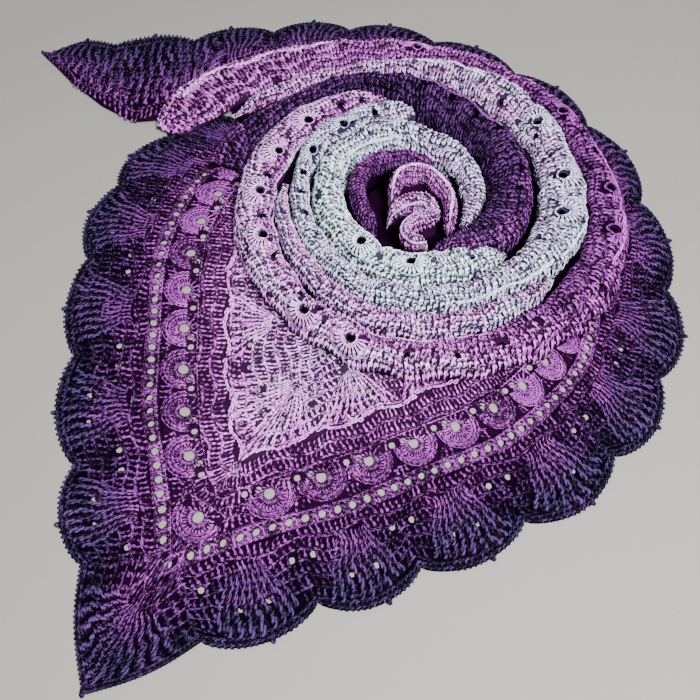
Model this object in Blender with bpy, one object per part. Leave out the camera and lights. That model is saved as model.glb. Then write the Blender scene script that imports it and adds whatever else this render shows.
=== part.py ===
# Crochet shawl laid on a floor: its corner lies flat, and the rest is wound into a swirl of folds.
# Blender 4.5. Sizes in the tables are centimetres, and CM turns them into metres. +Z is up.
# The flat cloth is written in two lengths: along the edge from the corner, and depth in from the edge.
# The folds are written as rings round the swirl's middle, by angle and radius.

import functools
import math

import bmesh
import bpy
import numpy as np
from mathutils import Matrix, Vector

CM = 0.01
SEAM = 0.0003           # gap between neighbouring stretches of cloth
WALL = 0.30             # thickness of the crochet, in cm
FOLD_WALL = 0.26        # thickness of a folded stretch, in cm
ORIGIN = (-1.36, 6.56)  # plan position of the object's origin, in cm
SWIRL = (6.0, 13.0)     # middle of the swirl, in cm

# Picot line of the border, from the corner where the two arms would meet.
# Columns: length along the edge, x, y, direction in degrees in which its depth runs.
LEFT_EDGE = (
    (0.0, -19.3, -27.8, 10.0),
    (12.7, -21.5, -15.3, 8.0),
    (22.2, -23.4, -6.0, 3.0),
    (31.9, -24.2, 3.7, -2.0),
    (42.5, -23.6, 14.3, -9.0),
    (48.7, -21.3, 20.0, -16.0),
    (53.0, -18.6, 23.4, -22.0),
    (58.6, -14.2, 26.8, -30.0),
)
RIGHT_EDGE = (
    (0.0, -19.3, -27.8, 110.0),
    (14.5, -5.7, -23.0, 109.0),
    (23.1, 2.5, -20.4, 110.5),
    (31.4, 10.2, -17.3, 115.0),
    (40.4, 18.2, -13.1, 124.0),
    (48.9, 24.2, -7.0, 138.0),
    (57.9, 27.9, 1.2, 158.0),
    (67.5, 28.4, 10.8, 180.0),
    (77.8, 26.3, 20.9, 200.0),
    (87.9, 20.9, 29.4, 221.0),
    (96.9, 13.7, 35.0, 239.0),
    (106.4, 4.7, 38.5, 255.0),
    (115.9, -4.8, 39.1, 266.0),
    (123.4, -12.3, 38.2, 271.0),
    (132.6, -21.5, 36.9, 272.0),
    (138.6, -27.5, 36.3, 268.0),
    (143.0, -31.4, 34.6, 262.0),
)
# Scallops of the border. Columns: where it starts and ends along the edge, its picot, depth of its valleys.
LEFT_SCALLOPS = (
    (10.0, 17.9, 13.2, 1.5),
    (17.9, 27.6, 22.4, 1.3),
    (27.6, 37.2, 32.0, 1.2),
    (37.2, 45.9, 42.3, 1.2),
    (45.9, 53.6, 49.6, 1.1),
    (53.6, 58.6, 56.2, 0.8),
)
RIGHT_SCALLOPS = (
    (10.1, 18.6, 14.9, 1.5),
    (18.6, 26.5, 23.4, 1.5),
    (26.5, 35.1, 31.6, 1.4),
    (35.1, 44.5, 40.4, 1.4),
    (44.5, 53.0, 48.9, 1.3),
    (53.0, 62.2, 57.9, 1.3),
    (62.2, 72.0, 67.6, 1.2),
    (72.0, 82.5, 78.2, 1.3),
    (82.5, 92.4, 88.2, 1.4),
    (92.4, 101.8, 97.6, 1.3),
    (101.8, 111.0, 106.9, 1.2),
    (111.0, 119.0, 114.9, 1.2),
    (119.0, 127.3, 123.6, 1.3),
    (127.3, 135.6, 131.4, 1.3),
    (135.6, 143.0, 138.4, 0.9),
)
CORNER_TIP = (-18.0, -26.4)  # the corner itself, a little inside the line of the picots

# Depths of the bands, in from the picot line.
HUB_DEPTH = 5.8
BORDER_DEPTH = 7.0
EYELET_DEPTH = 7.6
EYELET_BAND_DEPTH = 8.3
SHELL_TOP = 8.8
SHELL_FOOT = 10.0
SHELL_HOLE_DEPTH = 10.2
SMALL_HOLE_DEPTH = 10.85
LACE_DEPTH = 13.6
FAN_HUB_DEPTH = 18.6
PANEL_DEPTH = 21.6

RIBS = 5                # raised ribs across one scallop
SPINE_BLEND = 6.0       # length over which the arms are drawn to the spine
RIB_HEIGHT = 0.13
RIB_GATHER = 0.7        # how far the ribs are drawn together at the hub of their fan
FLAT_LEFT = 45.0        # length past which the left arm's ribs are pressed flat
FLAT_RIGHT = 125.0      # and the right arm's
RUFFLE = 0.28           # height of the ruffle waves of the border
RUFFLE_LENGTH = 4.3
FOLD_CLEAR = 0.06       # room under the foot of a fold
SHELL_PITCH = 4.2
SHELL_START = 1.4       # how much further than the others the first shell is from the one on the spine
SHELLS = 10             # shells of each arm
SHELL_STEPS = 6         # columns of one shell
SHELL_RISE = 0.14
SHELL_LIMIT = 16.0      # plan y past which the raised line over the shells is pressed flat
RIDGE_RISE = 0.15       # the chain ridge that closes the lace band
PICOT_REACH = 0.38
PICOT_WIDTH = 0.28      # half the width of a picot's foot
VALLEY_LIMIT = 0.4      # deepest valley, as a share of the border there
EYELET_PITCH = 1.25
EYELETS = (34, 38)      # eyelet columns of the left arm and of the right arm
PANEL_STEP = 1.4        # half the pitch of the light fans' ribs
PANEL_STEPS = 20
PANEL_TAPER = 0.045     # how much shorter each cm in makes the rows of the light fans
FOLD_ROOM = 1.2         # flat cloth this near the folds has no holes and no ridges
FOLD_FADE = 1.5

# Folds of the swirl. Columns: angle in degrees, outer radius, inner radius, foot height outside,
# foot height inside, crest height, share of the width at which the crest lies (0 outside, 1 inside).
MAUVE_FOLD = (
    (96, 14.9, 12.4, 1.00, 1.0, 3.2, 0.55),
    (108, 15.1, 12.3, 1.00, 1.0, 3.3, 0.55),
    (120, 15.5, 12.3, 1.00, 1.0, 3.5, 0.55),
    (142, 16.2, 12.4, 1.00, 1.0, 3.6, 0.55),
    (152, 16.3, 12.4, 1.00, 1.0, 3.6, 0.55),
    (162, 16.4, 12.5, 0.34, 1.0, 3.6, 0.55),
    (180, 16.4, 12.6, 0.34, 1.0, 3.5, 0.55),
    (210, 15.8, 12.5, 0.34, 1.0, 3.3, 0.55),
    (240, 15.9, 13.0, 0.34, 1.0, 3.1, 0.60),
    (270, 16.3, 13.2, 0.34, 1.0, 3.1, 0.60),
    (300, 16.9, 13.4, 0.34, 1.0, 3.2, 0.60),
    (330, 18.3, 13.9, 0.60, 1.0, 3.4, 0.60),
    (360, 18.5, 14.9, 1.00, 1.0, 3.2, 0.55),
    (390, 18.7, 15.6, 1.20, 1.0, 3.0, 0.50),
    (420, 19.7, 17.0, 1.20, 1.0, 2.9, 0.50),
    (450, 21.3, 18.0, 1.10, 1.0, 2.8, 0.50),
    (480, 23.9, 19.4, 0.90, 1.0, 2.6, 0.50),
    (500, 26.9, 21.1, 0.70, 1.0, 2.4, 0.50),
    (516, 28.2, 22.8, 0.60, 0.9, 1.7, 0.50),
)
LACE_FOLD = (
    (168, 12.4, 11.6, 1.0, 1.0, 3.0, 0.50),
    (185, 12.5, 11.3, 1.0, 1.0, 3.6, 0.50),
    (210, 12.4, 10.8, 1.0, 1.0, 3.8, 0.50),
    (240, 12.9, 11.1, 1.0, 1.0, 3.8, 0.50),
    (270, 13.1, 11.2, 1.0, 1.0, 3.8, 0.50),
    (300, 13.3, 11.6, 1.0, 1.0, 3.8, 0.50),
    (325, 13.7, 12.8, 1.0, 1.0, 3.2, 0.50),
)
WHITE_FOLD = (
    (86, 11.9, 10.1, 1.0, 1.0, 3.8, 0.50),
    (96, 12.0, 10.0, 1.0, 1.0, 3.9, 0.50),
    (120, 12.1, 9.9, 1.0, 1.0, 4.1, 0.50),
    (150, 12.2, 9.9, 1.0, 1.0, 4.2, 0.50),
    (168, 11.5, 9.7, 1.0, 1.0, 4.2, 0.50),
    (185, 11.2, 9.4, 1.0, 1.0, 4.2, 0.50),
    (210, 10.7, 8.9, 1.0, 1.0, 4.2, 0.50),
    (240, 11.0, 8.9, 1.0, 1.0, 4.3, 0.50),
    (270, 11.1, 8.9, 1.0, 1.0, 4.4, 0.50),
    (300, 11.5, 9.1, 1.0, 1.0, 4.6, 0.50),
    (325, 12.7, 9.5, 1.0, 1.0, 4.7, 0.45),
    (345, 14.3, 9.8, 1.0, 1.0, 4.7, 0.40),
    (360, 14.8, 10.2, 1.0, 1.0, 4.7, 0.40),
    (390, 15.5, 11.4, 1.0, 1.0, 4.6, 0.40),
    (420, 16.9, 12.8, 1.0, 1.0, 4.4, 0.40),
    (450, 17.9, 15.3, 1.0, 1.0, 3.6, 0.45),
    (466, 18.5, 16.7, 1.0, 1.0, 3.0, 0.50),
    (480, 19.3, 17.6, 1.0, 1.0, 2.6, 0.50),
    (498, 20.8, 19.0, 1.0, 1.0, 2.1, 0.50),
    (506, 21.6, 20.3, 1.0, 1.0, 1.7, 0.50),
)
MINT_FOLD = (
    (-28, 4.8, 3.9, 1.0, 1.0, 2.2, 0.50),
    (0, 5.7, 4.0, 1.0, 1.0, 2.8, 0.50),
    (30, 7.0, 4.6, 1.0, 1.0, 3.1, 0.50),
    (60, 8.3, 5.3, 1.0, 1.0, 3.4, 0.50),
    (75, 8.9, 5.6, 1.0, 1.0, 3.6, 0.50),
    (90, 9.7, 5.9, 1.0, 1.0, 3.8, 0.50),
    (120, 9.8, 6.6, 1.0, 1.0, 4.3, 0.50),
    (150, 9.8, 6.9, 1.0, 1.0, 4.5, 0.50),
    (180, 9.3, 6.4, 1.0, 1.0, 4.6, 0.50),
    (210, 8.8, 5.8, 1.0, 1.0, 4.6, 0.50),
    (240, 8.8, 5.7, 1.0, 1.0, 4.6, 0.50),
    (270, 8.8, 5.6, 1.0, 1.0, 4.7, 0.50),
    (300, 9.0, 6.1, 1.0, 1.0, 4.7, 0.50),
    (313, 9.2, 7.4, 1.0, 1.0, 4.4, 0.50),
    (323, 9.3, 8.5, 1.0, 1.0, 3.0, 0.50),
)
PURPLE_FOLD = (
    (-82, 5.4, 4.7, 1.0, 1.0, 3.0, 0.50),
    (-60, 5.9, 4.5, 1.0, 1.0, 4.0, 0.50),
    (-45, 7.1, 4.7, 1.0, 1.0, 4.4, 0.50),
    (-35, 8.2, 4.9, 1.0, 1.0, 4.5, 0.50),
    (-15, 9.5, 5.4, 1.0, 1.0, 4.6, 0.50),
    (0, 10.0, 5.9, 1.0, 1.0, 4.6, 0.50),
    (30, 11.2, 7.2, 1.0, 1.0, 4.7, 0.50),
    (60, 12.6, 8.6, 1.0, 1.0, 4.7, 0.50),
    (75, 13.7, 9.3, 1.0, 1.0, 4.6, 0.48),
    (86, 14.7, 10.1, 1.0, 1.0, 4.4, 0.45),
    (96, 15.6, 12.3, 1.0, 1.0, 4.1, 0.45),
    (106, 16.4, 15.3, 1.0, 1.0, 3.6, 0.50),
    (120, 17.2, 15.7, 1.0, 1.0, 3.3, 0.50),
    (135, 18.4, 16.3, 1.0, 1.0, 2.7, 0.50),
    (150, 19.8, 16.7, 1.0, 1.0, 2.0, 0.50),
    (157, 20.2, 16.8, 0.5, 0.5, 1.6, 0.50),
    (163, 20.4, 16.9, 0.4, 0.4, 1.3, 0.50),
)
# Depth of the free tail below its scalloped edge. Columns: length along the edge, depth.
TAIL_DEPTHS = (
    (119.0, 5.4),
    (123.4, 6.4),
    (126.0, 7.6),
    (128.5, 10.6),
    (130.5, 12.0),
    (132.6, 11.9),
    (135.6, 9.6),
    (138.6, 6.3),
    (141.0, 2.9),
    (143.0, 0.4),
)
TAIL_START = 119.0
# Heap of hidden layers under the folds. Columns: angle, radius.
HEAP_OUTLINE = (
    (0, 18.1),
    (30, 18.2),
    (45, 18.6),
    (60, 19.2),
    (75, 19.9),
    (90, 20.8),
    (105, 21.9),
    (120, 23.4),
    (137, 25.2),
    (140, 18.4),
    (147, 15.9),
    (165, 15.9),
    (180, 15.9),
    (195, 15.7),
    (210, 15.3),
    (225, 15.3),
    (240, 15.4),
    (270, 15.8),
    (300, 16.4),
    (315, 17.1),
    (330, 17.8),
)
HEAP_HEIGHT = 0.97
HEAP_CLEAR = 0.06       # room that the border keeps to the heap, in cm
HEAP_LAYERS = 2
HEAP_GROOVE = 0.12
HEAP_STEP = 10          # degrees between the points of its outline

# Ribbons that stand in the middle, where the left arm's end curls up.
# Columns: length along the ribbon, x, y, half width, crest height.
PURPLE_RIBBON = (
    (0.0, 2.0, 10.4, 0.60, 3.6),
    (2.5, 0.9, 12.6, 0.70, 4.2),
    (5.0, 0.7, 15.0, 0.75, 4.5),
    (7.6, 2.4, 16.9, 0.75, 4.6),
    (10.2, 5.0, 17.3, 0.70, 4.6),
    (12.8, 7.5, 16.5, 0.60, 4.4),
)
PINK_RIBBON = (
    (0.0, 3.7, 13.7, 0.50, 4.4),
    (1.7, 4.4, 15.1, 0.60, 4.9),
    (3.6, 6.2, 15.3, 0.60, 5.1),
    (5.6, 7.8, 14.1, 0.60, 5.1),
    (7.7, 8.6, 12.2, 0.55, 4.9),
    (9.5, 8.5, 10.5, 0.50, 4.5),
)
TONGUE_RIBBON = (
    (0.0, 3.4, 11.6, 0.60, 4.2),
    (1.6, 4.9, 12.2, 0.80, 4.8),
    (3.3, 6.6, 12.0, 0.70, 5.0),
    (4.6, 7.1, 10.8, 0.50, 4.9),
    (6.2, 5.7, 10.3, 0.50, 4.8),
    (7.7, 4.7, 9.3, 0.50, 4.6),
    (9.2, 5.4, 8.4, 0.45, 4.4),
    (10.5, 6.4, 8.7, 0.40, 4.0),
)

# Holes of the lace cut through the folds.
# Columns: fold, first angle, last angle, how many, place across the fold, radius of a hole.
FOLD_HOLES = (
    ("mauve", 112, 232, 14, 0.62, 0.26),
    ("mauve", 236, 322, 7, 0.38, 0.30),
    ("mauve", 330, 420, 8, 0.30, 0.28),
    ("white", 110, 205, 8, 0.60, 0.26),
    ("white", 335, 425, 9, 0.66, 0.30),
    ("mint", 150, 300, 6, 0.40, 0.24),
    ("purple", 5, 100, 8, 0.45, 0.26),
)

# Stretches of the folds, one node each. Columns: node, fold, first angle, last angle, colour,
# how far the first end runs back towards the inner foot, in degrees.
FOLD_STRETCHES = (
    ("pink_fold_left", "mauve", 108, 215, "mauve", 10),
    ("pink_fold_front", "mauve", 215, 322, "mauve", 0),
    ("magenta_fold_right", "mauve", 322, 420, "magenta", 0),
    ("pink_fold_tail", "mauve", 420, 516, "mauve", 0),
    ("lace_fold_front", "lace", 168, 325, "lavender", 0),
    ("lavender_fold_left", "white", 96, 215, "lavender", 9),
    ("white_fold_front", "white", 215, 330, "lavender", 0),
    ("white_fold_right", "white", 330, 420, "lavender", 0),
    ("grey_fold_tail", "white", 420, 506, "lavender", 0),
    ("grey_fold_inner", "mint", -28, 95, "mint", 0),
    ("mint_fold_left", "mint", 95, 210, "mint", 0),
    ("mint_fold_front", "mint", 210, 323, "mint", 0),
    ("purple_fold_inner", "purple", -82, 35, "purple", 0),
    ("purple_fold_top", "purple", 35, 162, "purple", 0),
)
FOLD_TABLES = {
    "mauve": MAUVE_FOLD,
    "lace": LACE_FOLD,
    "white": WHITE_FOLD,
    "mint": MINT_FOLD,
    "purple": PURPLE_FOLD,
}
# Gaps of one scallop. Columns: share of the scallop, depth.
BORDER_HOLES = (
    (0.10, 4.9),
    (0.90, 4.9),
    (0.38, 2.7),
    (0.62, 2.7),
)
# Holes of the light fans on each side of the spine. Columns: distance from the spine, depth, radius.
PANEL_HOLES = (
    (1.2, 16.4, 0.26),
    (4.5, 16.1, 0.30),
    (6.4, 17.9, 0.34),
    (7.6, 15.7, 0.26),
    (9.9, 15.8, 0.26),
)
# Rows across a border. Columns: share of its depth, share of the full height that its ribs have there.
BORDER_ROWS = (
    (0.00, 0.00),
    (0.10, 0.45),
    (0.42, 1.00),
    (0.82, 0.60),
    (1.00, 0.00),
)
BACK_ROWS = (
    (0.00, 0.00),
    (0.30, 1.00),
    (1.00, 0.00),
)

COLOURS = {
    "midnight": (0.020, 0.010, 0.045, 1.0),
    "purple": (0.090, 0.025, 0.150, 1.0),
    "magenta": (0.250, 0.080, 0.300, 1.0),
    "mauve": (0.420, 0.230, 0.430, 1.0),
    "lavender": (0.480, 0.430, 0.600, 1.0),
    "mint": (0.550, 0.620, 0.640, 1.0),
}

FOLD_SIDES = 6          # flats across one fold
FOLD_STEP = 2.3         # length between the sections of a fold, in cm
HOLE_SIDES = 5
EYELET_SIDES = 6
BORDER_GAP = 0.25       # radius of a gap of the border
EYELET_RADIUS = 0.36
SPINE_EYELET = 0.42
SHELL_HOLE = 0.42
SMALL_HOLE = 0.28
FAN_HUB_HOLE = 0.36
HOLE_DEPTH = 1.6        # length of the cut of a hole, in cm
HOLE_MIDDLE = 0.2       # height of the middle of that cut over the floor
HOLE_MARGIN = 2.5       # degrees that the holes of a fold keep to its ends
RIBBON_SIDES = 5
RIBBON_WALL = 0.20
RIPPLE = 0.10           # height of the small ripples along a fold's crest
RIPPLE_LENGTH = 5.4
ARCH_POWER = 0.75       # below 1 a fold's section is fuller than a half circle
ARCH_FOOT = 1.0         # height of a ribbon's feet, in cm
RIBBON_STEP = 1.1


def clear_scene():
    for thing in list(bpy.data.objects):
        bpy.data.objects.remove(thing, do_unlink=True)


def yarn_material(name):
    material = bpy.data.materials.new(name)
    material.use_nodes = True
    shader = material.node_tree.nodes["Principled BSDF"]
    shader.inputs["Base Color"].default_value = COLOURS[name]
    shader.inputs["Roughness"].default_value = 0.85
    shader.inputs["Metallic"].default_value = 0.0
    return material


@functools.cache
def table_slopes(table):
    """Keys, values and slopes of a table's rows."""
    rows = np.array(table, float)
    return rows[:, 0], rows[:, 1:], np.gradient(rows[:, 1:], rows[:, 0], axis=0)


def read_table(table, key):
    """Every column of a table at a key of its first column, on a smooth curve through the rows."""
    keys, values, slopes = table_slopes(table)
    if key > keys[-1]:
        return values[-1] + slopes[-1] * (key - keys[-1])
    key = max(key, keys[0])
    i = min(int(np.searchsorted(keys, key, side="right")) - 1, len(keys) - 2)
    span = keys[i + 1] - keys[i]
    t = (key - keys[i]) / span
    return (
        (2 * t**3 - 3 * t**2 + 1) * values[i]
        + (t**3 - 2 * t**2 + t) * span * slopes[i]
        + (3 * t**2 - 2 * t**3) * values[i + 1]
        + (t**3 - t**2) * span * slopes[i + 1]
    )


def read_straight(table, key, column=1):
    """One column of a table at a key of its first column, on straight lines between the rows."""
    keys, values, _ = table_slopes(table)
    return float(np.interp(key, keys, values[:, column - 1]))


def heap_radius(angle):
    """Radius of the heap of hidden layers at an angle."""
    closed = HEAP_OUTLINE + ((360, HEAP_OUTLINE[0][1]),)
    return read_straight(closed, angle % 360)


def edge_frame(side, length):
    """A point of the picot line and the inward direction there. The left arm is side -1, the right 1."""
    x, y, direction = read_table(LEFT_EDGE if side < 0 else RIGHT_EDGE, length)
    turn = math.radians(direction)
    return np.array((x, y)), np.array((math.cos(turn), math.sin(turn)))


@functools.cache
def spine_length(depth):
    """Length along either arm at which the row at this depth meets the spine."""
    corner = 180.0 - (RIGHT_EDGE[0][3] - LEFT_EDGE[0][3])
    return depth / math.tan(math.radians(corner / 2))


def flat_point(side, length, depth):
    """Plan position of a place on the flat cloth. Near the spine both arms are drawn to one line."""
    start = spine_length(depth)
    point, inward = edge_frame(side, length)
    pull = max(0.0, 1.0 - (length - start) / SPINE_BLEND)
    if pull > 0.0:
        own, own_inward = edge_frame(side, start)
        other, other_inward = edge_frame(-side, start)
        shift = (other + other_inward * depth - own - own_inward * depth) / 2
        point = point + shift * min(pull, 1.0)
    return point + inward * depth


def depth_to_heap(side, length):
    """Depth at which the line in from the edge meets the heap of folds."""
    near, far = 0.0, BORDER_DEPTH + 1.0
    for _ in range(12):
        depth = (near + far) / 2
        x, y = flat_point(side, length, depth) - np.array(SWIRL)
        if math.hypot(x, y) < heap_radius(math.degrees(math.atan2(y, x))) + HEAP_CLEAR:
            far = depth
        else:
            near = depth
    return near


@functools.cache
def border_depth(side, length):
    """Depth of the border's inner side."""
    if side > 0 and length >= TAIL_START:
        return read_straight(TAIL_DEPTHS, length)
    return min(BORDER_DEPTH, depth_to_heap(side, length))


def fold_foot(angle):
    """Height of the outer foot of the outermost fold."""
    return read_straight(MAUVE_FOLD, angle, 3)


def swirl_angle(point):
    """Angle of a plan point round the swirl, counted on through the top for the right arm."""
    x, y = point[0] - SWIRL[0], point[1] - SWIRL[1]
    angle = math.degrees(math.atan2(y, x)) % 360
    return angle + 360 if angle < 200 else angle


def grid(columns, rows, place):
    """A sheet of columns by rows faces whose corners place(column, row) puts in space, in cm."""
    mesh = bmesh.new()
    bmesh.ops.create_grid(mesh, x_segments=columns, y_segments=rows, size=0.5)
    column_layer = mesh.verts.layers.int.new("column")
    row_layer = mesh.verts.layers.int.new("row")
    for corner in mesh.verts:
        corner[column_layer] = round((corner.co.x + 0.5) * columns)
        corner[row_layer] = round((corner.co.y + 0.5) * rows)
        corner.co = settle(place(corner[column_layer], corner[row_layer]))
    return mesh


def settle(point):
    """A point of the tables in metres, in the object's own frame."""
    return Vector(((point[0] - ORIGIN[0]) * CM, (point[1] - ORIGIN[1]) * CM, point[2] * CM))


def thicken(mesh, under, flat_below=False, flat_above=False):
    """Closes a sheet into a wall whose other side under(column, row) gives. A flat side is one face."""
    above = list(mesh.faces)
    made = bmesh.ops.extrude_face_region(mesh, geom=list(mesh.faces))["geom"]
    column_layer = mesh.verts.layers.int["column"]
    row_layer = mesh.verts.layers.int["row"]
    for item in made:
        if isinstance(item, bmesh.types.BMVert):
            item.co = settle(under(item[column_layer], item[row_layer]))
    if flat_below:
        faces = [item for item in made if isinstance(item, bmesh.types.BMFace)]
        bmesh.ops.dissolve_faces(mesh, faces=faces, use_verts=False)
    if flat_above:
        bmesh.ops.dissolve_faces(mesh, faces=above, use_verts=False)
    return mesh


def node(name, mesh, colour):
    """Turns a bmesh into a named object with its own material."""
    bmesh.ops.recalc_face_normals(mesh, faces=mesh.faces)
    data = bpy.data.meshes.new(name)
    mesh.to_mesh(data)
    mesh.free()
    thing = bpy.data.objects.new(name, data)
    bpy.context.scene.collection.objects.link(thing)
    data.materials.append(yarn_material(colour))
    data.shade_smooth()
    return thing


def fan_share(share, depth):
    """Where a rib that starts at a share of the outline lies at a depth: ribs gather at the hub."""
    if depth < HUB_DEPTH:
        gather = 1.0 - RIB_GATHER * depth / HUB_DEPTH
    else:
        gather = 1.0 - RIB_GATHER * (BORDER_DEPTH - depth) / (BORDER_DEPTH - HUB_DEPTH)
    return 0.5 + (share - 0.5) * gather


def ruffle(length):
    """Height of the ruffle waves, which grow along the right arm and fade in the tail."""
    return RUFFLE * float(np.interp(length, (46.0, 62.0, 128.0, 143.0), (0.0, 1.0, 1.0, 0.3)))


def border_mesh(side, scallops, rows, start_seam=SEAM / CM / 2, end_seam=SEAM / CM / 2):
    """A run of scalloped fans between the outline and the border's inner side."""
    cells = 2 * RIBS
    waves = side > 0 and scallops[0][0] > 44.0

    def lay(column, row):
        index = min(column // cells, len(scallops) - 1)
        start, end, picot, dip = scallops[index]
        place = column - index * cells
        share = place / cells
        across, rib = rows[row]
        length = start + (end - start) * share
        deep = border_depth(side, length) - SEAM / CM / 2
        valley = dip * (1.0 - math.sin(math.pi * share) ** 0.7)
        depth = min(valley, VALLEY_LIMIT * deep)
        picot_column = round((picot - start) / (end - start) * cells)
        if row == 0 and abs(place - picot_column) <= 1:
            length = picot + PICOT_WIDTH * (place - picot_column)
            if place == picot_column:
                depth -= PICOT_REACH
        if 0 < place < cells and row > 0:
            if length < FLAT_RIGHT:
                share = fan_share(share, depth + (deep - depth) * across)
            length = start + (end - start) * share
            deep = border_depth(side, length) - SEAM / CM / 2
        depth += (deep - depth) * across
        if column == 0:
            length += start_seam
        if column == cells * len(scallops):
            length -= end_seam
        plan = flat_point(side, length, depth)
        rise = 0.0
        if waves:
            lift = fold_foot(swirl_angle(plan)) - FOLD_CLEAR - WALL
            swell = (1 + math.sin(2 * math.pi * length / RUFFLE_LENGTH)) * ruffle(length)
            rise = lift * across**1.5 + swell * 2 * across * (1 - across)
        if place % 2 == 0 or (side < 0 and length > FLAT_LEFT) or length > FLAT_RIGHT:
            rib = 0.0
        return plan, rise, rib * RIB_HEIGHT

    def top(column, row):
        plan, rise, rib = lay(column, row)
        return plan[0], plan[1], WALL + rise + rib

    def under(column, row):
        plan, rise, rib = lay(column, row)
        return plan[0], plan[1], rise

    mesh = grid(cells * len(scallops), len(rows) - 1, top)
    return thicken(mesh, under, flat_below=not waves)


def corner_mesh():
    """The fan at the shawl's corner, which spreads from the spine to both arms."""
    cells = 4 * RIBS
    left_end, right_end = LEFT_SCALLOPS[0], RIGHT_SCALLOPS[0]
    gap = SEAM / CM / 2
    outer = (
        flat_point(-1, left_end[0] - gap, left_end[3]),
        np.array(CORNER_TIP),
        flat_point(1, right_end[0] - gap, right_end[3]),
    )
    inner_depth = BORDER_DEPTH - gap
    inner = (
        flat_point(-1, left_end[0] - gap, inner_depth),
        flat_point(1, spine_length(inner_depth), inner_depth),
        flat_point(1, right_end[0] - gap, inner_depth),
    )
    hub = flat_point(1, spine_length(HUB_DEPTH), HUB_DEPTH)

    def along(three, share):
        part, rest = (0, share * 2) if share <= 0.5 else (1, share * 2 - 1)
        return three[part] * (1 - rest) + three[part + 1] * rest

    def plan_of(column, row):
        share = column / cells
        edge = along(outer, share)
        edge = edge + (edge - hub) / np.hypot(*(edge - hub)) * 0.5 * abs(math.sin(2 * math.pi * share))
        base = along(inner, share)
        if column in (0, cells):
            return edge + (base - edge) * BORDER_ROWS[row][0]
        near_hub = hub + (edge - hub) / np.hypot(*(edge - hub)) * 1.0
        if row == len(BORDER_ROWS) - 1:
            return base
        return edge + (near_hub - edge) * BORDER_ROWS[row][0] / BORDER_ROWS[-2][0]

    def top(column, row):
        rise = BORDER_ROWS[row][1] * RIB_HEIGHT * (column % 2)
        plan = plan_of(column, row)
        return plan[0], plan[1], WALL + rise

    def under(column, row):
        plan = plan_of(column, row)
        return plan[0], plan[1], 0.0

    mesh = grid(cells, len(BORDER_ROWS) - 1, top)
    return thicken(mesh, under, flat_below=True)


def shell_line(distance):
    """Depth of the raised line over the shells at a distance from the spine along the row."""
    first = SHELL_START + SHELL_PITCH
    turn = distance / first if distance < first else (distance - SHELL_START) / SHELL_PITCH
    return SHELL_FOOT - (SHELL_FOOT - SHELL_TOP) * abs(math.cos(math.pi * turn)) ** 0.8


def band_mesh(left_columns, right_columns, step, depth_of, rise_of, rows, taper=0.0, flat=False):
    """A band of both arms that turns at the spine. taper shortens its rows by that share for each cm."""
    def plan_of(column, row):
        place = column - left_columns
        distance = abs(place) * step
        depth = depth_of(distance, row)
        distance *= 1.0 - taper * (depth - depth_of(distance, 0))
        side = -1 if place < 0 else 1
        return flat_point(side, spine_length(depth) + distance, depth)

    def top(column, row):
        plan = plan_of(column, row)
        return plan[0], plan[1], WALL + rise_of(abs(column - left_columns) * step, row, plan)

    def under(column, row):
        plan = plan_of(column, row)
        return plan[0], plan[1], 0.0

    mesh = grid(left_columns + right_columns, rows, top)
    return thicken(mesh, under, flat_below=True, flat_above=flat)


def clear_of_swirl(plan):
    """1 on the open flat cloth, down to 0 where the folds stand on it."""
    x, y = plan[0] - SWIRL[0], plan[1] - SWIRL[1]
    away = math.hypot(x, y) - heap_radius(math.degrees(math.atan2(y, x)))
    return min(max((away - FOLD_ROOM) / FOLD_FADE, 0.0), 1.0)


def eyelet_band_mesh():
    """The flat strip of the square eyelets inside the border."""
    depths = (BORDER_DEPTH + SEAM / CM, EYELET_BAND_DEPTH - SEAM / CM)

    def no_rise(distance, row, plan):
        return 0.0

    left, right = EYELETS
    return band_mesh(left, right, EYELET_PITCH, lambda distance, row: depths[row], no_rise, 1, flat=True)


def shell_band_mesh():
    """The row of shells, with a raised line over them."""
    def depth_of(distance, row):
        line = shell_line(distance)
        gap = SEAM / CM / 2
        return (EYELET_BAND_DEPTH + gap, line - 0.3, line, line + 0.4, LACE_DEPTH - gap)[row]

    def rise_of(distance, row, plan):
        return SHELL_RISE * (row == 2) * clear_of_swirl(plan) * (plan[1] < SHELL_LIMIT)

    columns = SHELL_STEPS * SHELLS
    return band_mesh(columns, columns, SHELL_PITCH / SHELL_STEPS, depth_of, rise_of, 4)


def fan_panel_mesh():
    """The light fans inside the chain ridge."""
    depths = (LACE_DEPTH + SEAM / CM / 2, 13.9, 14.3, 16.4, FAN_HUB_DEPTH, 21.0, PANEL_DEPTH)

    def rise_of(distance, row, plan):
        ridge = RIDGE_RISE if row == 1 else 0.0
        rib = RIB_HEIGHT if row == 3 and round(distance / PANEL_STEP) % 2 == 0 else 0.0
        return (ridge + rib) * clear_of_swirl(plan)

    def depth_of(distance, row):
        return depths[row]

    rows = len(depths) - 1
    return band_mesh(PANEL_STEPS, PANEL_STEPS, PANEL_STEP, depth_of, rise_of, rows, PANEL_TAPER)


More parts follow.
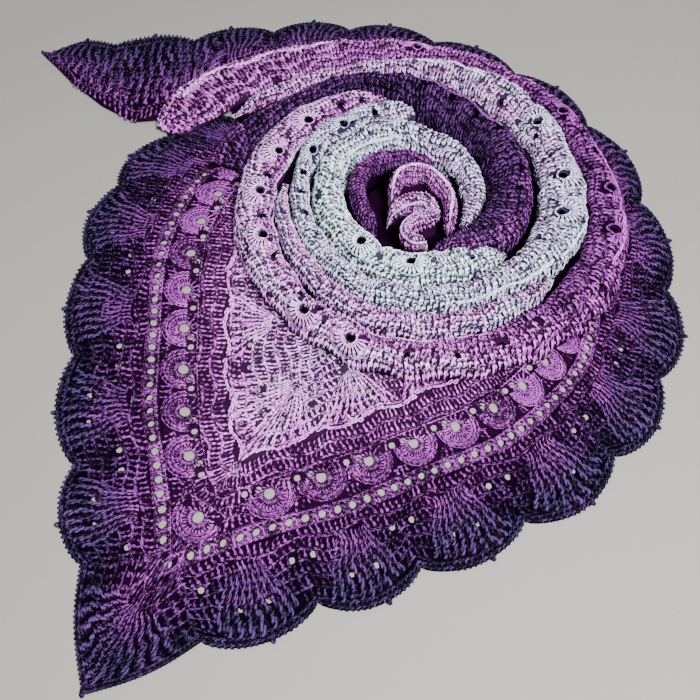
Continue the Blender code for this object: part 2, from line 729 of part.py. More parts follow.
def heap_mesh(grow=0.0, low=0.0, high=HEAP_HEIGHT):
    """The rounded heap of hidden layers, with grooves between the layers at its edge."""
    angles = sorted(set(range(0, 360, HEAP_STEP)) | {row[0] for row in HEAP_OUTLINE})
    levels = [(low, 0.0), (high, 0.0)]
    if grow == 0.0:
        layer = (high - low) / HEAP_LAYERS
        levels = []
        for number in range(HEAP_LAYERS):
            floor = low + number * layer
            levels += [(floor, HEAP_GROOVE), (floor + layer * 0.5, 0.0)]
        levels.append((high, HEAP_GROOVE))

    def place(column, row):
        angle = math.radians(angles[column % len(angles)])
        height, inset = levels[row]
        radius = heap_radius(angles[column % len(angles)]) + grow - inset
        return SWIRL[0] + radius * math.cos(angle), SWIRL[1] + radius * math.sin(angle), height

    mesh = grid(len(angles), len(levels) - 1, place)
    bmesh.ops.remove_doubles(mesh, verts=mesh.verts, dist=1e-6)
    bmesh.ops.holes_fill(mesh, edges=[edge for edge in mesh.edges if edge.is_boundary], sides=0)
    return mesh


def arch(outer, inner, foot_outer, foot_inner, crest, lean, share):
    """A point across a fold: share 0 is its outer foot, 1 its inner foot. Plan place and height."""
    turn = math.pi * share
    across = 0.5 * (1 - math.copysign(abs(math.cos(turn)) ** ARCH_POWER, math.cos(turn)))
    across = across ** (math.log(lean) / math.log(0.5))
    foot = foot_outer + (foot_inner - foot_outer) * share
    height = foot + (crest - foot) * math.sin(turn) ** ARCH_POWER
    return outer + (inner - outer) * across, height


def fold_section(table, angle, share, inset):
    """A point of a fold's outer face, or of its inner face where inset is the wall's thickness."""
    outer, inner, _, _, crest, lean = read_table(table, angle)
    foot_outer, foot_inner = read_straight(table, angle, 3), read_straight(table, angle, 4)
    length = math.radians(angle) * (outer + inner) / 2
    crest += RIPPLE * math.sin(2 * math.pi * length / RIPPLE_LENGTH) * math.sin(math.pi * share)
    share = min(max(share, 0.0), 1.0)
    radius, height = arch(
        outer - inset, inner + inset, foot_outer, foot_inner, crest - inset, lean, share
    )
    turn = math.radians(angle)
    return SWIRL[0] + radius * math.cos(turn), SWIRL[1] + radius * math.sin(turn), height


def fold_mesh(table, first, last, slant):
    """A stretch of a fold round the swirl, from one angle to another. Its first end may run aslant."""
    middle = read_table(table, (first + last) / 2)
    radius = (middle[0] + middle[1]) / 2
    columns = max(2, round(math.radians(last - first) * radius / FOLD_STEP))
    gap = math.degrees(SEAM / CM / 2 / radius) * 1.6

    def section(column, row, inset):
        share = row / FOLD_SIDES
        start = first + gap - slant * share
        angle = start + (last - gap - start) * column / columns
        return fold_section(table, angle, share, inset)

    mesh = grid(columns, FOLD_SIDES, lambda column, row: section(column, row, 0.0))
    return thicken(mesh, lambda column, row: section(column, row, FOLD_WALL))


def ribbon_mesh(table):
    """A curled ribbon of the middle: a narrow fold along its own line."""
    total = table[-1][0]
    columns = round(total / RIBBON_STEP)

    def section(column, row, inset):
        length = total * column / columns
        x, y, half, crest = read_table(table, length)
        ahead = read_table(table, length + 0.2)[:2] - read_table(table, max(length - 0.2, 0.0))[:2]
        ahead /= np.hypot(*ahead)
        share = row / RIBBON_SIDES
        offset, height = arch(half - inset, inset - half, ARCH_FOOT, ARCH_FOOT, crest - inset, 0.5, share)
        return x - ahead[1] * offset, y + ahead[0] * offset, height

    mesh = grid(columns, RIBBON_SIDES, lambda column, row: section(column, row, 0.0))
    return thicken(mesh, lambda column, row: section(column, row, RIBBON_WALL))


def add_prism(mesh, point, normal, radius, sides=HOLE_SIDES, spin=0.0):
    """One cutter of a hole, along a direction and turned about it."""
    turn = Vector((0, 0, 1)).rotation_difference(Vector(normal)).to_matrix().to_4x4()
    matrix = Matrix.Translation(settle(point)) @ turn @ Matrix.Rotation(spin, 4, "Z")
    bmesh.ops.create_cone(
        mesh,
        cap_ends=True,
        segments=sides,
        radius1=radius * CM,
        radius2=radius * CM,
        depth=HOLE_DEPTH * CM,
        matrix=matrix,
    )


def cut(thing, mesh, name):
    """Cuts the prisms or the heap's room out of a node."""
    data = bpy.data.meshes.new(name)
    mesh.to_mesh(data)
    mesh.free()
    cutter = bpy.data.objects.new(name, data)
    bpy.context.scene.collection.objects.link(cutter)
    cutter.hide_render = True
    cutter.display_type = "WIRE"
    modifier = thing.modifiers.new(name, "BOOLEAN")
    modifier.operation = "DIFFERENCE"
    modifier.solver = "EXACT"
    modifier.object = cutter


def flat_hole(mesh, side, distance, depth, radius, sides=HOLE_SIDES):
    """A hole of the flat lace, square to its row, left out where the folds cover it."""
    length = spine_length(depth) + distance
    plan = flat_point(side, length, depth)
    inward = edge_frame(side, length)[1]
    if clear_of_swirl(plan) > 0.05:
        spin = math.atan2(inward[1], inward[0]) + math.pi / sides
        add_prism(mesh, (plan[0], plan[1], HOLE_MIDDLE), (0, 0, 1), radius, sides, spin)


def border_holes(side, scallops):
    """Gaps between the ribs and beside each fan."""
    mesh = bmesh.new()
    for start, end, _, _ in scallops:
        for share, depth in BORDER_HOLES:
            plan = flat_point(side, start + (end - start) * share, depth)
            add_prism(mesh, (plan[0], plan[1], HOLE_MIDDLE), (0, 0, 1), BORDER_GAP)
    return mesh


def eyelet_holes():
    """One eyelet in the middle of each column of the eyelet band."""
    mesh = bmesh.new()
    for side, count in zip((-1, 1), EYELETS):
        for number in range(1, count - 1):
            flat_hole(mesh, side, (number + 0.5) * EYELET_PITCH, EYELET_DEPTH, EYELET_RADIUS, EYELET_SIDES)
    flat_hole(mesh, 1, 0.0, EYELET_DEPTH, SPINE_EYELET)
    return mesh


def shell_holes():
    """One large hole in each shell and a smaller one between shells."""
    mesh = bmesh.new()
    for side in (-1, 1):
        for number in range(SHELLS):
            if number > 0:
                distance = SHELL_START + number * SHELL_PITCH
                flat_hole(mesh, side, distance, SHELL_HOLE_DEPTH, SHELL_HOLE)
            distance = SHELL_START + (number + 0.5) * SHELL_PITCH
            flat_hole(mesh, side, distance, SMALL_HOLE_DEPTH, SMALL_HOLE)
    flat_hole(mesh, 1, 0.0, SHELL_HOLE_DEPTH, SHELL_HOLE)
    return mesh


def panel_holes():
    """Holes at the hubs of the light fans and between their ribs."""
    mesh = bmesh.new()
    flat_hole(mesh, 1, 0.0, FAN_HUB_DEPTH, FAN_HUB_HOLE)
    for side in (-1, 1):
        for distance, depth, radius in PANEL_HOLES:
            flat_hole(mesh, side, distance, depth, radius)
    return mesh


def fold_holes(kind, table, first, last):
    """Holes through one stretch of a fold, square to its face."""
    mesh = bmesh.new()
    for owner, start, end, count, share, radius in FOLD_HOLES:
        for number in range(count):
            angle = start + (end - start) * number / (count - 1)
            if owner != kind or not first + HOLE_MARGIN < angle < last - HOLE_MARGIN:
                continue

            def face(turn, across):
                return np.array(fold_section(table, angle + turn, share + across, 0.0))

            normal = np.cross(face(1, 0) - face(-1, 0), face(0, 0.05) - face(0, -0.05))
            middle = fold_section(table, angle, share, FOLD_WALL / 2)
            add_prism(mesh, middle, normal, radius)
    return mesh


def build():
    clear_scene()
    rooms = heap_mesh(grow=SEAM / CM, low=-0.5, high=2.0)
    flat_nodes = (
        ("corner_fan", corner_mesh(), "midnight"),
        ("border_left", border_mesh(-1, LEFT_SCALLOPS, BORDER_ROWS, end_seam=0.0), "midnight"),
        ("border_front", border_mesh(1, RIGHT_SCALLOPS[:4], BORDER_ROWS), "midnight"),
        ("border_right", border_mesh(1, RIGHT_SCALLOPS[4:8], BORDER_ROWS), "midnight"),
        ("border_back", border_mesh(1, RIGHT_SCALLOPS[8:12], BACK_ROWS), "midnight"),
        ("tail", border_mesh(1, RIGHT_SCALLOPS[12:], BACK_ROWS, end_seam=0.0), "midnight"),
        ("eyelet_band", eyelet_band_mesh(), "magenta"),
        ("shell_band", shell_band_mesh(), "magenta"),
        ("fan_panel", fan_panel_mesh(), "mauve"),
    )
    made = {name: node(name, mesh, colour) for name, mesh, colour in flat_nodes}
    for name in ("eyelet_band", "shell_band", "fan_panel"):
        cut(made[name], rooms.copy(), name + "_room")
    rooms.free()
    cut(made["border_left"], border_holes(-1, LEFT_SCALLOPS[:4]), "border_left_holes")
    cut(made["border_front"], border_holes(1, RIGHT_SCALLOPS[:4]), "border_front_holes")
    cut(made["border_right"], border_holes(1, RIGHT_SCALLOPS[4:6]), "border_right_holes")
    cut(made["eyelet_band"], eyelet_holes(), "eyelet_band_holes")
    cut(made["shell_band"], shell_holes(), "shell_band_holes")
    cut(made["fan_panel"], panel_holes(), "fan_panel_holes")
    node("hidden_layers", heap_mesh(), "purple")
    for name, kind, first, last, colour, slant in FOLD_STRETCHES:
        table = FOLD_TABLES[kind]
        thing = node(name, fold_mesh(table, first, last, slant), colour)
        holes = fold_holes(kind, table, first, last)
        if holes.verts:
            cut(thing, holes, name + "_holes")
        else:
            holes.free()
    node("purple_ribbon", ribbon_mesh(PURPLE_RIBBON), "purple")
    node("pink_ribbon", ribbon_mesh(PINK_RIBBON), "mauve")
    node("tongue_ribbon", ribbon_mesh(TONGUE_RIBBON), "mauve")


build()
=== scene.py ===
# %% [markdown]
# # A crochet shawl, laid flat and wound into a swirl
#
# The real shawl is one piece of crochet in a marled yarn that changes from navy to pale mint.
# Its corner lies flat, and the rest is wound into a swirl of rolled folds.
# Every stretch is made here in two layers: a thin ground cloth, and stitches of yarn that stand on it.
# The frame holds the plain solids of the shawl, which these pieces stand in for.

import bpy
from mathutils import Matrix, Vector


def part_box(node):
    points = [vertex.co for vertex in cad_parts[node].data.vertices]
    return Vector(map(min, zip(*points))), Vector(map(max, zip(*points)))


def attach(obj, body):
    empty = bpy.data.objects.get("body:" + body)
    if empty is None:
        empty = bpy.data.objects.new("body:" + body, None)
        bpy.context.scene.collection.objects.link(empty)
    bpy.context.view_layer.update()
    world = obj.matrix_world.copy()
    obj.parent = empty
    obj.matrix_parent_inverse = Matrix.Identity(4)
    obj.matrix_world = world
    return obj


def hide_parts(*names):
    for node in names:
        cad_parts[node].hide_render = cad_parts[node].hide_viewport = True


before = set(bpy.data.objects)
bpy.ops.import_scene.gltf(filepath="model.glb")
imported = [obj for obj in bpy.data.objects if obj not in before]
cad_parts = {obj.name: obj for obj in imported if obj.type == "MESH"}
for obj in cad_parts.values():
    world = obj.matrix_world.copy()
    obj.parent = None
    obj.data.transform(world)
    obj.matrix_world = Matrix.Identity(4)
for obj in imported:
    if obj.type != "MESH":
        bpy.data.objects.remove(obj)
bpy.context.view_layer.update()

# %% Tools and units
import functools
import math

import bmesh
import bpy
import numpy as np
from mathutils import Matrix, Vector

CM = 0.01
ORIGIN = (-1.36, 6.56)  # plan position of the object's origin, in cm
SWIRL = (6.0, 13.0)     # middle of the swirl, in cm


def put_in_scene(name, data):
    """A new object in the scene that shows this data."""
    made = bpy.data.objects.new(name, data)
    bpy.context.scene.collection.objects.link(made)
    return made


def as_mesh(work, name):
    """What was worked, as a mesh."""
    mesh = bpy.data.meshes.new(name)
    work.to_mesh(mesh)
    work.free()
    return mesh


def new_material(name):
    """A material with nodes, and its shader."""
    material = bpy.data.materials.new(name)
    material.use_nodes = True
    return material, material.node_tree.nodes["Principled BSDF"]


# %% [markdown]
# ## Camera, floor and light
#
# The shawl lies on a floor and is seen from the front, 62 degrees down. A camera is placed by its height
# and distance, and its lens is set from how fast the far scallops shrink. The floor is a plain pale plane.
# A soft lamp in front on the right and a dim sky keep the dark gaps of the lace dark.

# %% Camera, floor and light
camera_data = bpy.data.cameras.new("viewer")
camera_data.sensor_width = 36.0
camera_data.lens = 36.0 * 800 / 700
camera = put_in_scene("viewer", camera_data)
camera.location = (-ORIGIN[0] * CM, -0.31173 - ORIGIN[1] * CM, 0.58628)
camera.rotation_euler = (math.radians(28), 0.0, 0.0)
bpy.context.scene.camera = camera

plane = bmesh.new()
bmesh.ops.create_grid(plane, x_segments=1, y_segments=1, size=3.0)
floor = put_in_scene("floor", as_mesh(plane, "floor"))
floor_paint, shader = new_material("pale_floor")
shader.inputs["Base Color"].default_value = (0.20, 0.193, 0.175, 1.0)
shader.inputs["Roughness"].default_value = 0.7
floor.data.materials.append(floor_paint)

# Lamps. Columns: name, place, size, power.
LAMPS = (("window", (0.45, -0.70, 1.30), 0.40, 84.0), ("fill", (-0.9, 0.5, 1.6), 0.8, 10.0))
for name, place, size, power in LAMPS:
    data = bpy.data.lights.new(name, "AREA")
    data.size = size
    data.energy = power
    lamp = put_in_scene(name, data)
    lamp.location = place
    lamp.rotation_euler = (-Vector(place)).to_track_quat("-Z", "Y").to_euler()

world = bpy.data.worlds.new("room")
world.use_nodes = True
sky = world.node_tree.nodes["Background"]
sky.inputs["Color"].default_value = (0.90, 0.93, 1.0, 1.0)
sky.inputs["Strength"].default_value = 0.35
bpy.context.scene.world = world
print("camera at", [round(value, 3) for value in camera.location])

# %% [markdown]
# ## The shawl's outline
#
# A maker writes a shawl down as rows. Here each row of a table is a place on the outer edge: its length
# from the corner, its plan position, and the direction in which the cloth runs inwards from it.
# A smooth curve through a few such rows is easier to correct than a drawn outline.

# %% Outline tables
# Picot line of each arm, from the corner where the two would meet. The left arm is -1, the right 1.
# Columns: length along the edge, x, y, direction in degrees in which its depth runs.
EDGES = {
    -1: (
        (0, -19.3, -27.8, 10), (12.7, -21.5, -15.3, 8), (22.2, -23.4, -6, 3), (31.9, -24.2, 3.7, -2),
        (42.5, -23.6, 14.3, -9), (48.7, -21.3, 20, -16), (53, -18.6, 23.4, -22), (58.6, -14.2, 26.8, -30),
    ),
    1: (
        (0, -19.3, -27.8, 110), (14.5, -5.7, -23, 109), (23.1, 2.5, -20.4, 110.5), (31.4, 10.2, -17.3, 115),
        (40.4, 18.2, -13.1, 124), (48.9, 24.2, -7, 138), (57.9, 27.9, 1.2, 158), (67.5, 28.4, 10.8, 180),
        (77.8, 26.3, 20.9, 200), (87.9, 20.9, 29.4, 221), (96.9, 13.7, 35, 239), (106.4, 4.7, 38.5, 255),
        (115.9, -4.8, 39.1, 266), (123.4, -12.3, 38.2, 271), (132.6, -21.5, 36.9, 272),
        (138.6, -27.5, 36.3, 268), (143, -31.4, 34.6, 262),
    ),
}
# Scallops of the border. Columns: where it starts and ends along the edge, its picot, depth of its valleys.
SCALLOPS = {
    -1: (
        (10, 17.9, 13.2, 1.5), (17.9, 27.6, 22.4, 1.3), (27.6, 37.2, 32, 1.2), (37.2, 45.9, 42.3, 1.2),
        (45.9, 53.6, 49.6, 1.1), (53.6, 58.6, 56.2, 0.8),
    ),
    1: (
        (10.1, 18.6, 14.9, 1.5), (18.6, 26.5, 23.4, 1.5), (26.5, 35.1, 31.6, 1.4), (35.1, 44.5, 40.4, 1.4),
        (44.5, 53, 48.9, 1.3), (53, 62.2, 57.9, 1.3), (62.2, 72, 67.6, 1.2), (72, 82.5, 78.2, 1.3),
        (82.5, 92.4, 88.2, 1.4), (92.4, 101.8, 97.6, 1.3), (101.8, 111, 106.9, 1.2), (111, 119, 114.9, 1.2),
        (119, 127.3, 123.6, 1.3), (127.3, 135.6, 131.4, 1.3), (135.6, 143, 138.4, 0.9),
    ),
}
CORNER_TIP = (-18.0, -26.4)  # the corner itself, a little inside the line of the picots

# Depths from the edge, in cm, at which the bands of the shawl end and its holes lie.
HUB_DEPTH = 5.8
BORDER_DEPTH = 7.0
EYELET_DEPTH = 7.6
EYELET_BAND_DEPTH = 8.3
SHELL_HOLE_DEPTH = 10.2
SMALL_HOLE_DEPTH = 10.85
LACE_DEPTH = 13.6
FAN_HUB_DEPTH = 18.6
PANEL_DEPTH = 21.6
# Depth of the free tail below its scalloped edge. Columns: length along the edge, depth.
TAIL_DEPTHS = (
    (119, 5.4), (123.4, 6.4), (126, 7.6), (128.5, 10.6), (130.5, 12), (132.6, 11.9), (135.6, 9.6),
    (138.6, 6.3), (141, 2.9), (143, 0.4),
)

# %% [markdown]
# ## Tables of the rolls
#
# Each roll of the swirl is a ring that is written by angle: how far out it reaches, how high its crest
# is and where its feet stand. The hidden heap under the rolls is written in the same way.

# %% Tables of the rolls
# Columns: angle in degrees, outer radius, inner radius, crest height, share of the width at which the
# crest lies (0 outside, 1 inside).
ROLLS = {
    "mauve": (
        (96, 14.9, 12.4, 3.2, 0.55), (108, 15.1, 12.3, 3.3, 0.55), (120, 15.5, 12.3, 3.5, 0.55),
        (142, 16.2, 12.4, 3.6, 0.55), (152, 16.3, 12.4, 3.6, 0.55), (162, 16.4, 12.5, 3.6, 0.55),
        (180, 16.4, 12.6, 3.5, 0.55), (210, 15.8, 12.5, 3.3, 0.55), (240, 15.9, 13, 3.1, 0.6),
        (270, 16.3, 13.2, 3.1, 0.6), (300, 16.9, 13.4, 3.2, 0.6), (330, 18.3, 13.9, 3.4, 0.6),
        (360, 18.5, 14.9, 3.2, 0.55), (390, 18.7, 15.6, 3, 0.5), (420, 19.7, 17, 2.9, 0.5),
        (450, 21.3, 18, 2.8, 0.5), (480, 23.9, 19.4, 2.6, 0.5), (500, 26.9, 21.1, 2.4, 0.5),
        (516, 28.2, 22.8, 1.7, 0.5),
    ),
    "lace": (
        (168, 12.4, 11.6, 3, 0.5), (185, 12.5, 11.3, 3.6, 0.5), (210, 12.4, 10.8, 3.8, 0.5),
        (240, 12.9, 11.1, 3.8, 0.5), (270, 13.1, 11.2, 3.8, 0.5), (300, 13.3, 11.6, 3.8, 0.5),
        (325, 13.7, 12.8, 3.2, 0.5),
    ),
    "white": (
        (86, 11.9, 10.1, 3.8, 0.5), (96, 12, 10, 3.9, 0.5), (120, 12.1, 9.9, 4.1, 0.5),
        (150, 12.2, 9.9, 4.2, 0.5), (168, 11.5, 9.7, 4.2, 0.5), (185, 11.2, 9.4, 4.2, 0.5),
        (210, 10.7, 8.9, 4.2, 0.5), (240, 11, 8.9, 4.3, 0.5), (270, 11.1, 8.9, 4.4, 0.5),
        (300, 11.5, 9.1, 4.6, 0.5), (325, 12.7, 9.5, 4.7, 0.45), (345, 14.3, 9.8, 4.7, 0.4),
        (360, 14.8, 10.2, 4.7, 0.4), (390, 15.5, 11.4, 4.6, 0.4), (420, 16.9, 12.8, 4.4, 0.4),
        (450, 17.9, 15.3, 3.6, 0.45), (466, 18.5, 16.7, 3, 0.5), (480, 19.3, 17.6, 2.6, 0.5),
        (498, 20.8, 19, 2.1, 0.5), (506, 21.6, 20.3, 1.7, 0.5),
    ),
    "mint": (
        (-28, 4.8, 3.9, 2.2, 0.5), (0, 5.7, 4, 2.8, 0.5), (30, 7, 4.6, 3.1, 0.5), (60, 8.3, 5.3, 3.4, 0.5),
        (75, 8.9, 5.6, 3.6, 0.5), (90, 9.7, 5.9, 3.8, 0.5), (120, 9.8, 6.6, 4.3, 0.5),
        (150, 9.8, 6.9, 4.5, 0.5), (180, 9.3, 6.4, 4.6, 0.5), (210, 8.8, 5.8, 4.6, 0.5),
        (240, 8.8, 5.7, 4.6, 0.5), (270, 8.8, 5.6, 4.7, 0.5), (300, 9, 6.1, 4.7, 0.5),
        (313, 9.2, 7.4, 4.4, 0.5), (323, 9.3, 8.5, 3, 0.5),
    ),
    "purple": (
        (-82, 5.4, 4.7, 3, 0.5), (-60, 5.9, 4.5, 4, 0.5), (-45, 7.1, 4.7, 4.4, 0.5),
        (-35, 8.2, 4.9, 4.5, 0.5), (-15, 9.5, 5.4, 4.6, 0.5), (0, 10, 5.9, 4.6, 0.5),
        (30, 11.2, 7.2, 4.7, 0.5), (60, 12.6, 8.6, 4.7, 0.5), (75, 13.7, 9.3, 4.6, 0.48),
        (86, 14.7, 10.1, 4.4, 0.45), (96, 15.6, 12.3, 4.1, 0.45), (106, 16.4, 15.3, 3.6, 0.5),
        (120, 17.2, 15.7, 3.3, 0.5), (135, 18.4, 16.3, 2.7, 0.5), (150, 19.8, 16.7, 2, 0.5),
        (157, 20.2, 16.8, 1.6, 0.5), (163, 20.4, 16.9, 1.3, 0.5),
    ),
}
# Heights of their feet, where they aren't 1 cm. Columns: angle, outer foot, inner foot.
FEET = {
    "mauve": ((152, 1, 1), (162, 0.34, 1), (300, 0.34, 1), (330, 0.6, 1), (360, 1, 1), (390, 1.2, 1),
              (420, 1.2, 1), (450, 1.1, 1), (480, 0.9, 1), (500, 0.7, 1), (516, 0.6, 0.9)),
    "purple": ((150, 1, 1), (157, 0.5, 0.5), (163, 0.4, 0.4)),
}
# Heap of hidden layers under the rolls. Columns: angle, radius.
HEAP_OUTLINE = (
    (0, 18.1), (30, 18.2), (45, 18.6), (60, 19.2), (75, 19.9), (90, 20.8), (105, 21.9), (120, 23.4),
    (137, 25.2), (140, 18.4), (147, 15.9), (165, 15.9), (180, 15.9), (195, 15.7), (210, 15.3), (225, 15.3),
    (240, 15.4), (270, 15.8), (300, 16.4), (315, 17.1), (330, 17.8), (360, 18.1),
)
print("scallops", len(SCALLOPS[-1]) + len(SCALLOPS[1]), "and rolls", list(ROLLS))

# %% [markdown]
# ## Reading the tables
#
# A smooth curve that passes through every row keeps the rolls free of corners. Slopes are worked out
# once for each table and kept, because every stitch asks for them.

# %% Table readers
@functools.cache
def table_slopes(table):
    """Keys, values and slopes of a table's rows."""
    rows = np.array(table, float)
    return rows[:, 0], rows[:, 1:], np.gradient(rows[:, 1:], rows[:, 0], axis=0)


def read_table(table, key):
    """Every column of a table at a key of its first column, on a smooth curve through the rows."""
    keys, values, slopes = table_slopes(table)
    if key > keys[-1]:
        return values[-1] + slopes[-1] * (key - keys[-1])
    key = max(key, keys[0])
    i = min(int(np.searchsorted(keys, key, side="right")) - 1, len(keys) - 2)
    span = keys[i + 1] - keys[i]
    t = (key - keys[i]) / span
    return (
        (2 * t**3 - 3 * t**2 + 1) * values[i]
        + (t**3 - 2 * t**2 + t) * span * slopes[i]
        + (3 * t**2 - 2 * t**3) * values[i + 1]
        + (t**3 - t**2) * span * slopes[i + 1]
    )


def read_straight(table, key, column=1):
    """One column of a table at a key of its first column, on straight lines between the rows."""
    keys, values, _ = table_slopes(table)
    return float(np.interp(key, keys, values[:, column - 1]))


# %% Places on the flat cloth
SPINE_BLEND = 6.0       # length over which the arms are drawn to the spine
HEAP_CLEAR = 0.06       # how far the border stays clear of the heap


def edge_frame(side, length):
    """A point of the picot line and the inward direction there."""
    x, y, direction = read_table(EDGES[side], length)
    turn = math.radians(direction)
    return np.array((x, y)), np.array((math.cos(turn), math.sin(turn)))


@functools.cache
def spine_length(depth):
    """Length along either arm at which the row at this depth meets the spine."""
    corner = 180.0 - (EDGES[1][0][3] - EDGES[-1][0][3])
    return depth / math.tan(math.radians(corner / 2))


def flat_point(side, length, depth):
    """Plan position of a place on the flat cloth. Near the spine both arms are drawn to one line."""
    start = spine_length(depth)
    point, inward = edge_frame(side, length)
    pull = max(0.0, 1.0 - (length - start) / SPINE_BLEND)
    if pull > 0.0:
        own, own_inward = edge_frame(side, start)
        other, other_inward = edge_frame(-side, start)
        shift = (other + other_inward * depth - own - own_inward * depth) / 2
        point = point + shift * min(pull, 1.0)
    return point + inward * depth


def on_spine(depth):
    return flat_point(1, spine_length(depth), depth)


def heap_radius(angle):
    """Radius of the heap of hidden layers at an angle."""
    return read_straight(HEAP_OUTLINE, angle % 360)


@functools.cache
def border_depth(side, length):
    """Depth of the border's inner side, which ends at the heap. The tail has its own depths."""
    if side > 0 and length >= TAIL_DEPTHS[0][0]:
        return read_straight(TAIL_DEPTHS, length)
    near, far = 0.0, BORDER_DEPTH + 1.0
    for _ in range(12):
        depth = (near + far) / 2
        x, y = flat_point(side, length, depth) - np.array(SWIRL)
        if math.hypot(x, y) < heap_radius(math.degrees(math.atan2(y, x))) + HEAP_CLEAR:
            far = depth
        else:
            near = depth
    return min(BORDER_DEPTH, near)


# %% Places on a roll
ARCH_POWER = 0.75       # below 1 a roll's section is fuller than a half circle
RIPPLE = 0.10           # height of the small ripples along a roll's crest
RIPPLE_LENGTH = 5.4


def arch(outer, inner, feet, crest, lean, share):
    """A point across a roll: share 0 is its outer foot, 1 its inner foot. Plan place and height."""
    turn = math.pi * share
    across = 0.5 * (1 - math.copysign(abs(math.cos(turn)) ** ARCH_POWER, math.cos(turn)))
    across = across ** (math.log(lean) / math.log(0.5))
    foot = feet[0] + (feet[1] - feet[0]) * share
    return outer + (inner - outer) * across, foot + (crest - foot) * math.sin(turn) ** ARCH_POWER


def roll_point(roll, angle, share, inset):
    """A point of a roll, inset below the face of its solid."""
    outer, inner, crest, lean = read_table(ROLLS[roll], angle)
    feet = [read_straight(FEET[roll], angle, column) for column in (1, 2)] if roll in FEET else (1.0, 1.0)
    length = math.radians(angle) * (outer + inner) / 2
    crest += RIPPLE * math.sin(2 * math.pi * length / RIPPLE_LENGTH) * math.sin(math.pi * share)
    radius, height = arch(outer - inset, inner + inset, feet, crest - inset, lean, share)
    return round_swirl(radius, angle, height)


def round_swirl(radius, angle, height):
    turn = math.radians(angle)
    return SWIRL[0] + radius * math.cos(turn), SWIRL[1] + radius * math.sin(turn), height


print("the border's depth at 60 cm is", round(border_depth(1, 60.0), 2), "cm")

# %% [markdown]
# ## Laying many points on a surface
#
# The surface of a stretch is asked for at a few hundred places only. Every point of every stitch is then
# laid between those places, all at once. That is thousands of times quicker than asking for each point.

# %% Surfaces
def to_metres(points):
    return (points - np.array((ORIGIN[0], ORIGIN[1], 0.0))) * CM


def surface_of(place, columns, rows):
    """Asks place(u, v) for a lattice of points, and returns a function that lays points on it."""
    points = np.array(
        [[place(i / columns, j / rows) for j in range(rows + 1)] for i in range(columns + 1)], float
    )
    normals = np.cross(np.gradient(points, axis=0), np.gradient(points, axis=1))
    normals /= np.maximum(np.linalg.norm(normals, axis=2, keepdims=True), 1e-9)
    if normals[:, :, 2].mean() < 0:
        normals = -normals

    def lay(u, v, height):
        x, y = u * columns, v * rows
        i = np.clip(x.astype(int), 0, columns - 1)
        j = np.clip(y.astype(int), 0, rows - 1)
        s, t = (x - i)[:, None], (y - j)[:, None]

        def between(values):
            near = values[i, j] * (1 - s) + values[i + 1, j] * s
            far = values[i, j + 1] * (1 - s) + values[i + 1, j + 1] * s
            return near * (1 - t) + far * t

        return between(points) + between(normals) * height[:, None]

    return lay


# %% [markdown]
# ## Yarn
#
# Crochet is yarn wound round itself. A strand is a ring of three points that is extruded from place to
# place along a path and turned to follow it. Each point remembers where it is round the strand and how
# far along, so that the ply of the yarn can be drawn in its material.

# %% Strands
UP = Vector((0.0, 0.0, 1.0))
STRAND_SIDES = 3
YARN = 0.072            # radius of the yarn, in cm


def strand(work, path, closed, thick):
    """Extrudes a ring of yarn along a path, in cm."""
    ply = work.verts.layers.float_vector["ply"]
    points = [Vector(point) for point in path]
    count = len(points)
    travelled = 0.0
    before = None
    for number, point in enumerate(points):
        ahead = points[(number + 1) % count] if closed else points[min(number + 1, count - 1)]
        behind = points[number - 1] if closed or number else point
        direction = (ahead - behind).normalized()
        side = direction.cross(UP).normalized()
        turn = Matrix((side, direction.cross(side), direction)).transposed().to_4x4()
        place = Matrix.Translation(point) @ turn
        if before is None:
            ring = bmesh.ops.create_circle(work, segments=STRAND_SIDES, radius=thick, matrix=place)["verts"]
            edges = first_edges = list({edge for vertex in ring for edge in vertex.link_edges})
            for vertex in ring:
                around = place.inverted() @ vertex.co
                vertex[ply] = (around.x / thick, around.y / thick, 0.0)
        else:
            travelled += (point - points[number - 1]).length
            made = bmesh.ops.extrude_edge_only(work, edges=edges)["geom"]
            ring = [item for item in made if isinstance(item, bmesh.types.BMVert)]
            bmesh.ops.transform(work, matrix=place @ before.inverted(), verts=ring)
            edges = [
                item for item in made
                if isinstance(item, bmesh.types.BMEdge) and set(ring).issuperset(item.verts)
            ]
            for vertex in ring:
                vertex[ply] = (vertex[ply][0], vertex[ply][1], travelled)
        before = place
    if closed:
        bmesh.ops.bridge_loops(work, edges=first_edges + edges)


def stitch(paths, width, height, thick=YARN):
    """One stitch of several strands, in units of its own width and height."""
    work = bmesh.new()
    work.verts.layers.float_vector.new("ply")
    for path, closed in paths:
        strand(work, path, closed, thick)
    bmesh.ops.holes_fill(work, edges=[edge for edge in work.edges if edge.is_boundary], sides=0)
    bmesh.ops.recalc_face_normals(work, faces=work.faces)
    bmesh.ops.scale(work, vec=(1 / width, 1 / height, 1.0), verts=work.verts)
    return as_mesh(work, "stitch")


# %% Parts of a stitch
def post(foot, top, lift, turns=0.6, spread=0.06, steps=3, crown=0.0, side=None):
    """Two strands that wind round each other from one plan place to another. crown is their rise midway."""
    foot, top = np.array(foot), np.array(top)
    if side is None:
        side = np.array((top[1] - foot[1], foot[0] - top[0]))
        side /= np.hypot(*side)
    paths = []
    for start in (0.6, 0.6 + math.pi):
        path = []
        for number in range(steps + 1):
            share = number / steps
            angle = start + 2 * math.pi * turns * share
            x, y = foot + (top - foot) * share + side * spread * math.cos(angle)
            path.append((x, y, lift + crown * math.sin(math.pi * share) + spread * math.sin(angle)))
        paths.append((path, False))
    return paths


def upright_post(x, foot, top, lift, lean=0.07, spread=0.062, **others):
    """A post of a plain stitch, which leans over to the next one."""
    ends = (x - lean / 2, foot), (x + lean / 2, top)
    return post(*ends, lift, spread=spread, side=np.array((1.0, 0.0)), **others)


